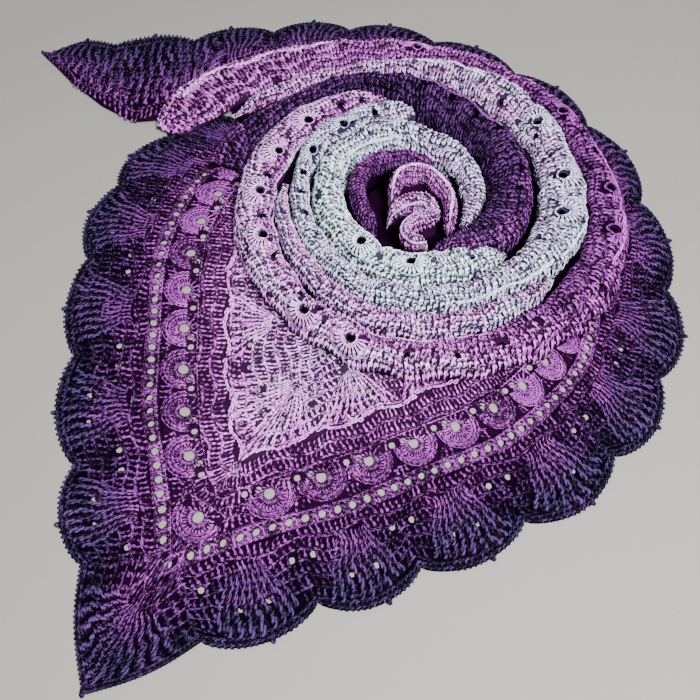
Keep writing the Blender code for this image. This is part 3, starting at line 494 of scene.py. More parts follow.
def chain_loop(start, end, lift, half=0.085, points=4):
    """A teardrop loop of a chain from one plan place to another."""
    start, end = np.array(start, float), np.array(end, float)
    middle, reach = (start + end) / 2, (end - start) / 2 * 1.15
    side = np.array((-reach[1], reach[0])) / np.hypot(*reach) * half
    path = []
    for number in range(points):
        angle = 2 * math.pi * (number + 0.25) / points
        x, y = middle + reach * math.cos(angle) + side * math.sin(angle)
        path.append((x, y, lift + 0.035 * math.cos(angle)))
    return [(path, True)]


# %% Plain stitches
double_crochet = stitch(
    upright_post(0.24, 0.0, 0.84, 0.08) + chain_loop((0.0, 0.87), (0.48, 0.87), 0.13),
    0.48, 0.95, YARN * 1.15,
)
single_crochet = stitch(
    chain_loop((0.0, 0.12), (0.42, 0.12), 0.10, points=5)
    + upright_post(0.2, 0.12, 0.42, 0.08, turns=0.4, steps=2),
    0.42, 0.42,
)
rib_stitch = stitch(
    upright_post(0.24, -0.05, 1.0, 0.17, turns=0.75, spread=0.085, lean=0.02, steps=4),
    0.48, 0.95, YARN * 1.15,
)
low_stitch = stitch(upright_post(0.24, 0.0, 0.95, 0.04, lean=0.1), 0.48, 0.95)
roll_stitch = stitch(
    upright_post(0.15, -0.06, 0.80, 0.03, spread=0.06, lean=0.14, crown=0.16)
    + [([(0.38, -0.06, -0.02), (0.33, 0.38, 0.14), (0.20, 0.86, 0.02)], False)]
    + chain_loop((0.02, 0.78), (0.41, 0.92), 0.06, half=0.10),
    0.43, 0.92, YARN * 1.1,
)
print("double crochet has", len(double_crochet.polygons), "faces")

# %% [markdown]
# ## Ground cloth and rows of stitches
#
# Under the stitches lies the felted inside of the crochet, which closes the gaps between them. It is a
# thin grid on the same surface, with its faces taken out where the lace has a hole. It shows the dark ply
# alone, so its dark colour is partly the fuzz of the yarn and partly painted shade in the gaps. The
# stitches are copies of one, laid in rows, and shifted a little by dice because no hand works evenly.

# %% Ground cloth
def near_holes(points, holes, margin=0.0):
    """Which of the points lie within a hole's radius and a margin."""
    if not len(holes):
        return np.zeros(len(points), bool)
    holes = np.array(holes, float)
    away = np.linalg.norm(points[:, None, :] - holes[None, :, :3], axis=2)
    return (away < holes[None, :, 3] + margin).any(axis=1)


def round_off(work, laid, gone, holes):
    """Moves the points at the edge of each hole onto its circle."""
    work.faces.index_update()
    centres, radii = np.array(holes, float)[:, :3], np.array(holes, float)[:, 3]
    for vertex in work.verts:
        if len({bool(gone[face.index]) for face in vertex.link_faces}) == 2:
            away = laid[vertex.index] - centres
            distance = np.linalg.norm(away, axis=1)
            near = int(np.argmin(distance))
            if distance[near] < 2.0 * radii[near]:
                laid[vertex.index] = centres[near] + away[near] * radii[near] / distance[near]


def lay_ground(surface, columns, rows, shade, holes=(), keep=None, depth=-0.02):
    """A sheet of ground cloth on a surface. Returns it as a mesh, in metres."""
    work = bmesh.new()
    bmesh.ops.create_grid(work, x_segments=columns, y_segments=rows, size=0.5)
    flat = np.array([vertex.co for vertex in work.verts]) + 0.5
    laid = surface(flat[:, 0], flat[:, 1], np.full(len(flat), depth))
    centres = np.array([laid[[vertex.index for vertex in face.verts]].mean(axis=0) for face in work.faces])
    gone = near_holes(centres, holes)
    if keep:
        gone |= ~keep(centres)
    if len(holes):
        round_off(work, laid, gone, holes)
    faces = [face for face, away in zip(work.faces, gone) if away]
    tone = work.verts.layers.float.new("shade")
    for vertex, place, value in zip(work.verts, to_metres(laid), shade(flat[:, 0], flat[:, 1])):
        vertex.co = place
        vertex[tone] = value
    bmesh.ops.delete(work, geom=faces, context="FACES")
    bmesh.ops.recalc_face_normals(work, faces=work.faces)
    if sum(face.normal.z for face in work.faces) < 0:
        bmesh.ops.reverse_faces(work, faces=work.faces)
    return as_mesh(work, "ground")


# %% Rows of stitches
# Painted shade: the lower points of each strand, near the ground, are made darker and the higher ones
# lighter.
UNSHADED_HEIGHT = 0.13    # height over the ground, in cm, at which a strand has its own tone
PAINTED_SHADE_OF_HEIGHT = 6.0    # how much lighter each cm higher makes it


def set_layer(mesh, name, values):
    mesh.attributes.new(name, "FLOAT", "POINT").data.foreach_set("value", np.asarray(values, np.float32))


def lay_stitches(template, surface, columns, rows, shade, band=(0.0, 1.0), holes=(), margin=0.12,
                 keep=None, where=None, lift=0.0, seed=1, span=(0.0, 1.0), loose=0.0):
    """Rows of one stitch on a surface, as one mesh. band is the first and last v, span the u.
    loose is how uneven the stitches are: they shift, lean and rise by about that share."""
    cells = np.array([(i, j) for j in range(rows) for i in range(columns)], float)

    def to_surface(flat):
        return [first + (last - first) * flat[:, axis] / count
                for axis, (first, last), count in ((0, span, columns), (1, band, rows))]

    u, v = to_surface(cells + 0.5)
    centres = surface(u, v, np.zeros(len(cells)))
    stay = ~near_holes(centres, holes, margin)
    if keep:
        stay &= keep(centres)
    if where:
        stay &= where(u, v)
    cells = cells[stay]
    work = bmesh.new()
    for _ in cells:
        work.from_mesh(template)
    mesh = as_mesh(work, "rows")
    if not len(cells):
        return mesh
    own = np.array([vertex.co for vertex in template.vertices])
    dice = np.random.default_rng(seed)
    uneven = dice.normal(0.0, loose, (len(cells), 4))
    flat = own[None] + np.pad(cells, ((0, 0), (0, 1)))[:, None]
    flat[:, :, 0] += uneven[:, :1] + uneven[:, 1:2] * 2.5 * (own[None, :, 1] - 0.5)
    flat[:, :, 1] += uneven[:, 2:3]
    flat[:, :, 2] += uneven[:, 3:] * 0.5
    flat = flat.reshape(-1, 3)
    wave = 4 * loose
    flat[:, 0] += wave * np.sin(0.45 * flat[:, 0] + 1.9 * flat[:, 1] + seed)
    flat[:, 1] += wave * np.sin(0.58 * flat[:, 0] + 0.7 * flat[:, 1] + 2 * seed)
    u, v = to_surface(flat)
    mesh.vertices.foreach_set("co", to_metres(surface(u, v, flat[:, 2] + lift)).astype(np.float32).ravel())
    # The tone of a stitch is its own random lightness plus painted shade, darker low down and lighter high
    # up.
    height = np.tile(own[:, 2], len(cells)) - UNSHADED_HEIGHT
    set_layer(mesh, "tone", np.repeat(dice.random(len(cells)), len(own)) + height * PAINTED_SHADE_OF_HEIGHT)
    set_layer(mesh, "shade", shade(u, v))
    return mesh


# %% [markdown]
# ## Marled yarn
#
# The yarn is spun from a light ply and a dark ply, and its colour drifts along the shawl from navy to
# pale mint. One group of shader nodes draws the spiral of the plies and their two colours, and every
# material places it with its own twist and contrast. The low parts of the strands get more of the dark
# ply, which is painted shade.

# %% Marled yarn
# Colours of the two plies as seen on a screen. Columns: place along the change, light ply, dark ply.
PLY_COLOURS = (
    (0.00, (64, 48, 94), (6, 2, 12)),
    (0.18, (100, 50, 122), (10, 2, 15)),
    (0.38, (170, 78, 180), (24, 4, 28)),
    (0.52, (210, 112, 214), (38, 9, 42)),
    (0.64, (240, 172, 248), (42, 19, 48)),
    (0.80, (224, 224, 255), (38, 35, 60)),
    (1.00, (230, 248, 255), (42, 50, 62)),
)
DYE_SHIFT = 0.36        # how far the patches of the dye reach along the change of colour
DRIFT = 2.8             # how much the share of the two plies drifts along the yarn
# The tone reach scales both the random lightness of each stitch and the painted shade of the low strands.
TONE_AND_SHADE_REACH = 0.7          # how much one stitch is lighter than the next
marl = bpy.data.node_groups.new("marled_yarn", "ShaderNodeTree")
for socket, kind, value in (
    ("Ply", "Vector", (0, 0, 0)), ("Position", "Vector", (0, 0, 0)), ("Shade", "Float", 0.5),
    ("Tone", "Float", 0.5), ("Twist", "Float", 2.2), ("Contrast", "Float", 0.5),
):
    made = marl.interface.new_socket(socket, in_out="INPUT", socket_type="NodeSocket" + kind)
    made.default_value = value
for socket, kind in (("Colour", "Color"), ("Height", "Float"), ("Roughness", "Float")):
    marl.interface.new_socket(socket, in_out="OUTPUT", socket_type="NodeSocket" + kind)
given = marl.nodes.new("NodeGroupInput").outputs
results = marl.nodes.new("NodeGroupOutput").inputs


def maths(operation, first, second=None, clamp=False):
    """A Math node on sockets or numbers. Returns its output."""
    made = marl.nodes.new("ShaderNodeMath")
    made.operation = operation
    made.use_clamp = clamp
    for number, value in enumerate((first, second)):
        if isinstance(value, bpy.types.NodeSocket):
            marl.links.new(value, made.inputs[number])
        elif value is not None:
            made.inputs[number].default_value = value
    return made.outputs[0]


def times(first, second):
    return maths("MULTIPLY", first, second)


def off_middle(value, reach):
    """How far a value lies above or below a half, made larger or smaller."""
    return times(maths("SUBTRACT", value, 0.5), reach)


def noise(scale, detail):
    made = marl.nodes.new("ShaderNodeTexNoise")
    made.inputs["Scale"].default_value = scale
    made.inputs["Detail"].default_value = detail
    marl.links.new(given["Position"], made.inputs["Vector"])
    return made.outputs["Fac"]


def screen(red, green, blue):
    """A colour as seen on a screen, 0 to 255, as the light that a shader works with."""
    values = np.array((red, green, blue)) / 255
    linear = np.where(values <= 0.04045, values / 12.92, ((values + 0.055) / 1.055) ** 2.4)
    return (*linear.tolist(), 1.0)


parts = marl.nodes.new("ShaderNodeSeparateXYZ")
marl.links.new(given["Ply"], parts.inputs[0])
phase = times(times(parts.outputs["Z"], given["Twist"]), 2 * math.pi)
spiral = maths("SUBTRACT", times(parts.outputs["X"], maths("COSINE", phase)),
               times(parts.outputs["Y"], maths("SINE", phase)))
fuzz = noise(2400.0, 2.0)
dyed = maths("ADD", given["Shade"], off_middle(noise(45.0, 3.0), DYE_SHIFT), clamp=True)
lightness = maths("ADD", times(dyed, 0.44), 0.06)
mixture = maths("ADD", times(spiral, given["Contrast"]), lightness)
mixture = maths("ADD", mixture, off_middle(noise(330.0, 2.0), DRIFT))
# Tone brings the random lightness of each stitch and the painted shade of the low strands.
mixture = maths("ADD", mixture, off_middle(given["Tone"], TONE_AND_SHADE_REACH), clamp=True)
blend_plies = marl.nodes.new("ShaderNodeMix")
blend_plies.data_type = "RGBA"
marl.links.new(mixture, blend_plies.inputs["Factor"])
for column, end in ((2, "A"), (1, "B")):
    node = marl.nodes.new("ShaderNodeValToRGB")
    ramp = node.color_ramp
    while len(ramp.elements) < len(PLY_COLOURS):
        ramp.elements.new(0.5)
    for element, row in zip(ramp.elements, PLY_COLOURS):
        element.position = row[0]
        element.color = screen(*row[column])
    marl.links.new(dyed, node.inputs["Fac"])
    marl.links.new(node.outputs["Color"], blend_plies.inputs[end])
marl.links.new(blend_plies.outputs["Result"], results["Colour"])
marl.links.new(maths("ADD", times(spiral, 0.5), times(fuzz, 0.6)), results["Height"])
marl.links.new(maths("ADD", times(fuzz, 0.25), 0.62), results["Roughness"])
print("marled yarn group has", len(marl.nodes), "nodes")

# %% Yarn materials
DARK_PLY_ONLY = -3.0    # a tone so low that no light ply is left


def yarn_material(name, twist, contrast, relief, ground=False):
    """A material of marled yarn. As ground cloth it shows the dark ply alone, partly as painted shade in the
    gaps between stitches.
    """
    material, shader = new_material(name)
    tree = material.node_tree
    yarn = tree.nodes.new("ShaderNodeGroup")
    yarn.node_tree = marl
    yarn.inputs["Twist"].default_value = twist
    yarn.inputs["Contrast"].default_value = contrast
    position = tree.nodes.new("ShaderNodeTexCoord")
    tree.links.new(position.outputs["Object"], yarn.inputs["Position"])
    for attribute in ("shade",) if ground else ("shade", "tone", "ply"):
        reader = tree.nodes.new("ShaderNodeAttribute")
        reader.attribute_name = attribute
        read = reader.outputs["Vector" if attribute == "ply" else "Fac"]
        tree.links.new(read, yarn.inputs[attribute.title()])
    # Painted shade: the ground cloth is kept to the dark ply, so the gaps between stitches read dark.
    if ground:
        yarn.inputs["Tone"].default_value = DARK_PLY_ONLY
    tree.links.new(yarn.outputs["Colour"], shader.inputs["Base Color"])
    tree.links.new(yarn.outputs["Roughness"], shader.inputs["Roughness"])
    bump = tree.nodes.new("ShaderNodeBump")
    bump.inputs["Strength"].default_value = relief
    bump.inputs["Distance"].default_value = 0.0004
    tree.links.new(yarn.outputs["Height"], bump.inputs["Height"])
    tree.links.new(bump.outputs["Normal"], shader.inputs["Normal"])
    shader.inputs["Specular IOR Level"].default_value = 0.0 if ground else 0.08
    return material


SLOTS = ("midnight", "purple", "magenta", "mauve", "lavender", "mint")
yarns = {slot: yarn_material(slot + "_yarn", 2.2, 0.50, 0.8) for slot in SLOTS}
grounds = {slot: yarn_material(slot + "_ground", 0.0, 0.0, 0.5, ground=True) for slot in SLOTS}
print("materials", len(yarns) + len(grounds))

# %% [markdown]
# ## Putting a stretch together
#
# A stretch is a sheet of ground cloth and its stitches. The sheet takes the place of the plain solid,
# which is hidden, and is given a thin wall; the stitches are joined into a piece of their own.

# %% Dressing a node
CLOTH = 0.0008          # thickness of the ground cloth, in m
triangles = {}


def new_piece(name, meshes, material):
    """Joins meshes into one finished piece."""
    work = bmesh.new()
    for mesh in meshes:
        work.from_mesh(mesh)
    bmesh.ops.recalc_face_normals(work, faces=work.faces)
    joined = as_mesh(work, name)
    for mesh in meshes:
        bpy.data.meshes.remove(mesh)
    joined.shade_smooth()
    joined.materials.append(material)
    piece = put_in_scene(name, joined)
    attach(piece, "root")
    return piece


def dress(node, slot, sheets, stitches):
    cloth = new_piece(node + "_cloth", sheets, grounds[slot])
    area = sum(face.area for face in cloth.data.polygons)
    low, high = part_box(node)
    wall = cloth.modifiers.new("wall", "SOLIDIFY")
    wall.thickness = CLOTH
    wall.offset = -1.0
    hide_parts(node)
    yarn = new_piece(node + "_stitches", stitches, yarns[slot])
    triangles[node] = sum(len(face.vertices) - 2 for face in yarn.data.polygons)
    print(node, "cut", round(area * 1e4), "cm2,", triangles[node], "triangles of yarn")


# %% Change of colour over the flat cloth
# Columns: depth from the edge, place along the change.
DEPTH_SHADES = (
    (0, 0), (2, 0.04), (3.5, 0.15), (6, 0.27), (9, 0.4), (12, 0.46), (14, 0.55), (17, 0.61), (22, 0.66),
)


def depth_shade(first, last):
    """The change of colour over a band that runs from one depth to another."""
    return lambda u, v: np.interp(first + (last - first) * v, *np.array(DEPTH_SHADES).T)


def one_shade(value):
    return lambda u, v: np.full(len(u), value)


border_shade = depth_shade(0.0, BORDER_DEPTH)

# %% [markdown]
# ## Scalloped border
#
# The border is a run of fans. Each fan has a hub near the inner side, and raised ribs spread from it to
# a scallop with a picot at its tip. Rows of double crochet lie behind the ribs and join the hubs.
# A place on it is given by how many scallops along and what share of the way in from the edge.

# %% Border surface
WALL = 0.30             # thickness of the flat crochet, in cm
BORDER_FLOOR = WALL - 0.17
FOLD_CLEAR = 0.06       # gap between the border's inner side and the outermost roll
RIB_GATHER = 0.7        # share of a fan's width by which its ribs draw together at the hub
VALLEY_LIMIT = 0.4      # largest share of the border's depth that a valley takes
WAVES_FROM = 44.0       # lengths along the right arm past which the border rises and is ruffled,
FLAT_FROM = 125.0       # and past which the tail's ribs are pressed flat
RUFFLE_LENGTH = 4.3
# Height of the ruffle waves of the right arm. Columns: length along the edge, height.
RUFFLES = ((46.0, 0.0), (62.0, 0.28), (128.0, 0.28), (143.0, 0.084))


def gather_at(depth):
    """The share of its width to which a fan is drawn together at a depth."""
    return np.interp(depth, (0.0, HUB_DEPTH, BORDER_DEPTH), (1.0, 1.0 - RIB_GATHER, 1.0))


def swirl_angle(point):
    """Angle of a plan point round the swirl, counted on through the top for the right arm."""
    angle = math.degrees(math.atan2(point[1] - SWIRL[1], point[0] - SWIRL[0])) % 360
    return angle + 360 if angle < 200 else angle


def border_surface(side, scallops, gathered):
    """The surface of a run of scallops. Where it is gathered, its columns run to the hubs."""
    def place(u, across):
        index = min(int(u * len(scallops)), len(scallops) - 1)
        start, end, _, dip = scallops[index]
        share = u * len(scallops) - index
        length = start + (end - start) * share
        deep = border_depth(side, length)
        valley = dip * (1.0 - max(math.sin(math.pi * share), 0.0) ** 0.7)
        depth = min(valley, VALLEY_LIMIT * deep)
        if gathered and length < FLAT_FROM:
            share = 0.5 + (share - 0.5) * gather_at(depth + (deep - depth) * across)
            length = start + (end - start) * share
            deep = border_depth(side, length)
        depth += (deep - depth) * across
        plan = flat_point(side, length, depth)
        rise = 0.0
        if side > 0 and scallops[0][0] > WAVES_FROM:
            lift = read_straight(FEET["mauve"], swirl_angle(plan)) - FOLD_CLEAR - WALL
            swell = (1 + math.sin(2 * math.pi * length / RUFFLE_LENGTH)) * read_straight(RUFFLES, length)
            rise = lift * across**1.5 + swell * 2 * across * (1 - across)
        return plan[0], plan[1], BORDER_FLOOR + rise

    return surface_of(place, 24 * len(scallops), 14)


# %% Border pieces
# Gaps of one scallop. Columns: share of the scallop, depth.
BORDER_HOLES = ((0.10, 4.9), (0.90, 4.9), (0.38, 2.7), (0.62, 2.7))
picot = stitch(
    chain_loop((0.0, -0.1), (0.0, 0.34), 0.10, half=0.13, points=7)
    + chain_loop((-0.12, -0.1), (0.12, -0.1), 0.12, points=5),
    1.0, 1.0, YARN * 1.4,
)


def flat_hole(side, length, depth, radius):
    return (*flat_point(side, length, depth), BORDER_FLOOR, radius)


def lay_picot(plan):
    """One picot on a patch of 1 cm whose plan place is asked for by u and v."""
    patch = surface_of(lambda u, v: (*plan(u, v), BORDER_FLOOR), 1, 1)
    return lay_stitches(picot, patch, 1, 1, one_shade(0.0), span=(0.5, 1.5))


def dress_border(node, side, first, last, pierced):
    scallops = SCALLOPS[side][first:last]
    count = len(scallops)
    plain = border_surface(side, scallops, False)
    columns, shade = 17 * count, border_shade
    holes = [flat_hole(side, start + (end - start) * share, depth, 0.27)
             for start, end, _, _ in scallops[:pierced] for share, depth in BORDER_HOLES]

    def beside_fans(u, v):
        """Where a place lies outside the ribs of its fan."""
        return (np.abs((u * count) % 1.0 - 0.5) > 0.5 * gather_at(v * BORDER_DEPTH) - 0.05) | (v > 0.8)

    stitches = [
        lay_stitches(single_crochet, plain, 20 * count, 2, shade, band=(0.11, -0.01), seed=2, loose=0.02),
        lay_stitches(double_crochet, plain, columns + 2, 6, shade, band=(1.0, 0.12), holes=holes, margin=0.02,
                     where=beside_fans, seed=3, loose=0.06, span=(-1 / columns, 1 + 1 / columns)),
    ]
    for number, scallop in enumerate(scallops):
        fan = border_surface(side, (scallop,), True)
        stitches += [
            lay_stitches(rib_stitch, fan, 9, 5, shade, band=(0.82, 0.10), seed=4 + number, loose=0.05),
            lay_stitches(low_stitch, fan, 8, 5, shade, band=(0.78, 0.12), holes=holes, seed=5 + number,
                         span=(0.5 / 9, 8.5 / 9), loose=0.03),
        ]
    for _, _, tip, _ in scallops:
        stitches.append(lay_picot(lambda u, v: flat_point(side, tip + u - 0.5, 0.12 - v)))
    dress(node, "midnight", [lay_ground(plain, 28 * count, 18, shade, holes)], stitches)


# Columns: node, arm, first scallop and the one after the last, how many of them have gaps.
for row in (
    ("border_left", -1, 0, 6, 4), ("border_front", 1, 0, 4, 4), ("border_right", 1, 4, 8, 2),
    ("border_back", 1, 8, 12, 0), ("tail", 1, 12, 15, 0),
):
    dress_border(*row)


# %% [markdown]
# ## Corner fan
#
# The corner is one larger fan on the spine, which spreads to both arms. Its columns run from the outer
# edge to the hub, so its surface is asked for in the same two shares as the border's.

# %% Corner fan
HUB_SHARE = 0.82        # share of the way in at which the ribs meet, 1 cm short of the hub
(left_start, _, _, left_dip), (right_start, _, _, right_dip) = SCALLOPS[-1][0], SCALLOPS[1][0]
CORNER_OUTER = (
    flat_point(-1, left_start, left_dip), np.array(CORNER_TIP), flat_point(1, right_start, right_dip),
)
CORNER_INNER = (
    flat_point(-1, left_start, BORDER_DEPTH), on_spine(BORDER_DEPTH),
    flat_point(1, right_start, BORDER_DEPTH),
)


def corner_place(u, across):
    hub = on_spine(HUB_DEPTH)
    part, rest = (0, u * 2) if u <= 0.5 else (1, u * 2 - 1)
    edge, base = [line[part] * (1 - rest) + line[part + 1] * rest for line in (CORNER_OUTER, CORNER_INNER)]
    away = (edge - hub) / np.hypot(*(edge - hub))
    edge = edge + away * 0.5 * abs(math.sin(2 * math.pi * u))
    near_hub = hub + away * 1.0
    if across <= HUB_SHARE:
        plan = edge + (near_hub - edge) * across / HUB_SHARE
    else:
        plan = near_hub + (base - near_hub) * (across - HUB_SHARE) / (1 - HUB_SHARE)
    side = max(0.0, 1.0 - min(u, 1.0 - u) * 12)
    plan = plan * (1 - side) + (edge + (base - edge) * across) * side
    return plan[0], plan[1], BORDER_FLOOR


def by_the_hub(u, v):
    return np.abs(u - 0.5) < 0.34


def in_the_fan(u, v):
    return np.abs(u - 0.5) < 0.36 + 0.10 * (1.0 - v)


def beside_the_fan(u, v):
    return ~in_the_fan(u, v)


corner_cloth = surface_of(corner_place, 48, 16)
stitches = [
    lay_stitches(kind, corner_cloth, *counts, border_shade, band=band, seed=seed, loose=loose, where=where)
    for kind, *counts, band, seed, loose, where in (
        (single_crochet, 52, 2, (0.09, -0.01), 12, 0.0, None),
        (rib_stitch, 14, 7, (0.82, 0.08), 13, 0.04, in_the_fan),
        (low_stitch, 13, 3, (0.78, 0.46), 14, 0.05, in_the_fan),
        (low_stitch, 27, 4, (0.46, 0.10), 16, 0.06, in_the_fan),
        (double_crochet, 9, 2, (1.02, 0.82), 15, 0.05, by_the_hub),
        (double_crochet, 36, 7, (1.02, 0.10), 17, 0.04, beside_the_fan),
    )
]
stitches.append(lay_picot(lambda u, v: (CORNER_TIP[0] + u - 0.5, CORNER_TIP[1] + 0.2 - v)))
dress("corner_fan", "midnight", [lay_ground(corner_cloth, 40, 16, border_shade)], stitches)

# %% [markdown]
# ## Lace inside the border
#
# From the border inwards come a row of eyelets, a row of shells that each spread round a large hole, two
# rows of double crochet, a raised chain, and light fans. A place on an arm is its distance from the
# spine and its depth, so one motif in centimetres serves the whole band.

# %% Bands of the lace
SPINE_TURN = 2.0        # length over which the rows turn to meet the other arm


def band_surface(side, first, last, at, reach):
    """A band of an arm: u along it as a share of reach, v from its first depth to its last.
    Lengths are true at the depth at, and the rows stand square to the edge away from the spine."""
    def place(u, v):
        depth = first + (last - first) * v
        distance = reach * u
        square = (spine_length(at) - spine_length(depth)) * (1.0 - math.exp(-abs(distance) / SPINE_TURN))
        return (*flat_point(side, spine_length(depth) + distance + square, depth), BORDER_FLOOR)

    return surface_of(place, round(reach / 0.5), max(3, round((last - first) / 0.35)))


def seen(points, margin=-0.3):
    """Which of the points lie outside the heap of rolls, or under its edge by less than the margin."""
    away = points[:, :2] - np.array(SWIRL)
    limits = np.array([heap_radius(angle) for angle in np.degrees(np.arctan2(away[:, 1], away[:, 0]))])
    return np.hypot(away[:, 0], away[:, 1]) > limits + margin


# %% Holes of the lace
SHELL_PITCH = 4.2
SHELL_START = 1.4       # how much further than the others the first shell is from the one on the spine
SHELLS = 10             # shells of each arm, with the one on the spine
EYELET_PITCH = 1.25
EYELETS = ((-1, 34), (1, 38))
# Holes of the light fans on each side of the spine. Columns: distance from the spine, depth, radius.
PANEL_HOLES = ((0.0, 18.6, 0.36), (1.2, 16.4, 0.26), (4.5, 16.1, 0.30), (6.4, 17.9, 0.34), (7.6, 15.7, 0.26),
               (9.9, 15.8, 0.26))


def lace_hole(side, distance, depth, radius):
    """A hole at a distance from the spine."""
    return flat_hole(side, spine_length(depth) + distance, depth, radius)


eyelet_holes = [lace_hole(side, (number + 0.5) * EYELET_PITCH, EYELET_DEPTH, 0.37)
                for side, count in EYELETS for number in range(1, count - 1)]
eyelet_holes.append(lace_hole(1, 0.0, EYELET_DEPTH, 0.42))
shell_places = [SHELL_START + number * SHELL_PITCH for number in range(SHELLS)]
shell_centres = [lace_hole(side, place if number else 0.0, SHELL_HOLE_DEPTH, 0.50)
                 for side in (-1, 1) for number, place in enumerate(shell_places)]
shell_holes = [lace_hole(side, place + 0.5 * SHELL_PITCH + aside, SMALL_HOLE_DEPTH, 0.28)
               for side in (-1, 1) for place in shell_places for aside in (-0.55, 0.55)] + shell_centres
panel_holes = [lace_hole(side, *row) for side in (-1, 1) for row in PANEL_HOLES]
print("holes of the lace", len(eyelet_holes) + len(shell_holes) + len(panel_holes))

# %% [markdown]
# ### Eyelets
#
# Each eyelet is a round hole between two posts of two strands, closed by chains above and below. A ring
# of small loops round the hole covers the cut edge of the ground cloth.

# %% Eyelets
def ring_of_loops(middle, radius, count, lift, start=0.0, turn=360.0, half=0.075):
    """Chain loops laid round a plan place, from a start angle through a turn. 0 degrees points to -y."""
    def place(number):
        angle = math.radians(start + turn * number / count)
        return middle[0] + radius * math.sin(angle), middle[1] - radius * math.cos(angle)

    return sum((chain_loop(place(number), place(number + 1), lift, half) for number in range(count)), [])


def row_of_loops(width, count, y, lift):
    return sum((chain_loop((number * width / count, y), ((number + 1) * width / count, y), lift)
                for number in range(count)), [])


eyelet_frame = stitch(
    post((0.10, 0.10), (0.07, 1.20), 0.12) + post((1.16, 0.10), (1.19, 1.20), 0.12)
    + ring_of_loops((EYELET_PITCH / 2, EYELET_DEPTH - BORDER_DEPTH), 0.45, 8, 0.10)
    + row_of_loops(EYELET_PITCH, 3, 0.06, 0.13) + row_of_loops(EYELET_PITCH, 3, 1.20, 0.15),
    EYELET_PITCH, EYELET_BAND_DEPTH - BORDER_DEPTH,
)
sheets, stitches = [], []
shade = depth_shade(BORDER_DEPTH, EYELET_BAND_DEPTH)
for side, count in EYELETS:
    surface = band_surface(side, BORDER_DEPTH, EYELET_BAND_DEPTH, EYELET_DEPTH, count * EYELET_PITCH)
    sheets.append(lay_ground(surface, count * 7, 8, shade, eyelet_holes, seen))
    stitches.append(lay_stitches(eyelet_frame, surface, count, 1, shade, keep=seen, seed=21, loose=0.02))
dress("eyelet_band", "magenta", sheets, stitches)

# %% [markdown]
# ### Shells
#
# A shell is a half round of fine posts that spread from the rim of its hole towards the border, closed
# by a crescent of chains. It is worked once, in centimetres, with its depth running inwards, and then
# laid along both arms. One more lies across the spine.

# %% Shells
SHELL_HOLE_PLACE = SHELL_HOLE_DEPTH - EYELET_BAND_DEPTH
SHELL_HEIGHT = LACE_DEPTH - EYELET_BAND_DEPTH
shell_middle = (SHELL_PITCH / 2, SHELL_HOLE_PLACE)


def shell_posts(angles, near, far, lift, **others):
    """Posts round the hole of a shell. 0 degrees points to the border. far says how long each is."""
    paths = []
    for angle in angles:
        out = np.array((math.sin(math.radians(angle)), -math.cos(math.radians(angle))))
        paths += post(shell_middle + out * near, shell_middle + out * far(angle), lift, **others)
    return paths


shell_paths = ring_of_loops(shell_middle, 0.55, 12, 0.12, half=0.055)
shell_paths += shell_posts(range(-104, 105, 13), 0.56, lambda angle: 1.22, 0.12, spread=0.045, steps=2)
for radius, lift, count in ((1.32, 0.15, 11), (1.60, 0.18, 13), (1.86, 0.22, 14)):
    shell_paths += ring_of_loops(shell_middle, radius, count, lift, -96, 192, half=0.10)
back_angles = (125, 152, 180, 208, 235)
shell_paths += shell_posts(back_angles, 0.56, lambda angle: 1.05 + abs(angle - 180) / 110, 0.10, steps=2)
shell_paths += row_of_loops(SHELL_PITCH, 9, 3.05, 0.15)
shell_motif = stitch(shell_paths, SHELL_PITCH, SHELL_HEIGHT, YARN * 0.92)
print("a shell has", len(shell_motif.polygons), "faces")


# %% Band of shells
def spine_patch(u, v):
    """A patch across the spine, as wide as a shell, from the corner side inwards."""
    hole = on_spine(SHELL_HOLE_DEPTH)
    inward = hole - on_spine(EYELET_BAND_DEPTH)
    inward = inward / np.hypot(*inward)
    x, y = hole + inward * (v * SHELL_HEIGHT - SHELL_HOLE_PLACE)
    return x + inward[1] * (u - 0.5) * SHELL_PITCH, y - inward[0] * (u - 0.5) * SHELL_PITCH, BORDER_FLOOR


def clear_of_shells(radius):
    return lambda points: seen(points) & ~near_holes(points, [(*hole[:3], radius) for hole in shell_centres])


shade = depth_shade(EYELET_BAND_DEPTH - 1.0, LACE_DEPTH)
reach = SHELLS * SHELL_PITCH
first = (SHELL_START + SHELL_PITCH / 2) / reach
last = first + (SHELLS - 1) * SHELL_PITCH / reach
sheets, stitches = [], []
for side in (-1, 1):
    surface = band_surface(side, EYELET_BAND_DEPTH, LACE_DEPTH, SHELL_HOLE_DEPTH, reach)
    sheets.append(lay_ground(surface, 176, 22, shade, shell_holes, seen))
    stitches += [
        lay_stitches(shell_motif, surface, SHELLS - 1, 1, shade, span=(first, last), seed=22, loose=0.004,
                     keep=lambda points: seen(points, -2.0)),
        lay_stitches(double_crochet, surface, 90, 2, shade, band=(1.0, 0.60), keep=seen, seed=23, loose=0.05),
        lay_stitches(double_crochet, surface, 90, 2, shade, band=(0.0, 0.36), seed=24, loose=0.06,
                     keep=clear_of_shells(1.95)),
        lay_stitches(double_crochet, surface, 90, 1, shade, band=(0.36, 0.60), seed=29, loose=0.06,
                     keep=clear_of_shells(1.25), holes=shell_holes, margin=0.05),
    ]
patch = surface_of(spine_patch, 6, 6)
stitches += [
    lay_stitches(shell_motif, patch, 1, 1, shade, seed=20, keep=seen),
    lay_stitches(double_crochet, patch, 5, 2, shade, band=(-0.20, 0.04), span=(0.3, 0.7), seed=19,
                 loose=0.06),
]
dress("shell_band", "magenta", sheets, stitches)

# %% [markdown]
# ### Light fans
#
# Inside the raised chain the fans turn round: their ribs start spread along the chain and run together
# at hubs further in, one on the spine and two on each arm. The same bend that gathers the ribs is given
# to the surface, and behind them lie plain rows.

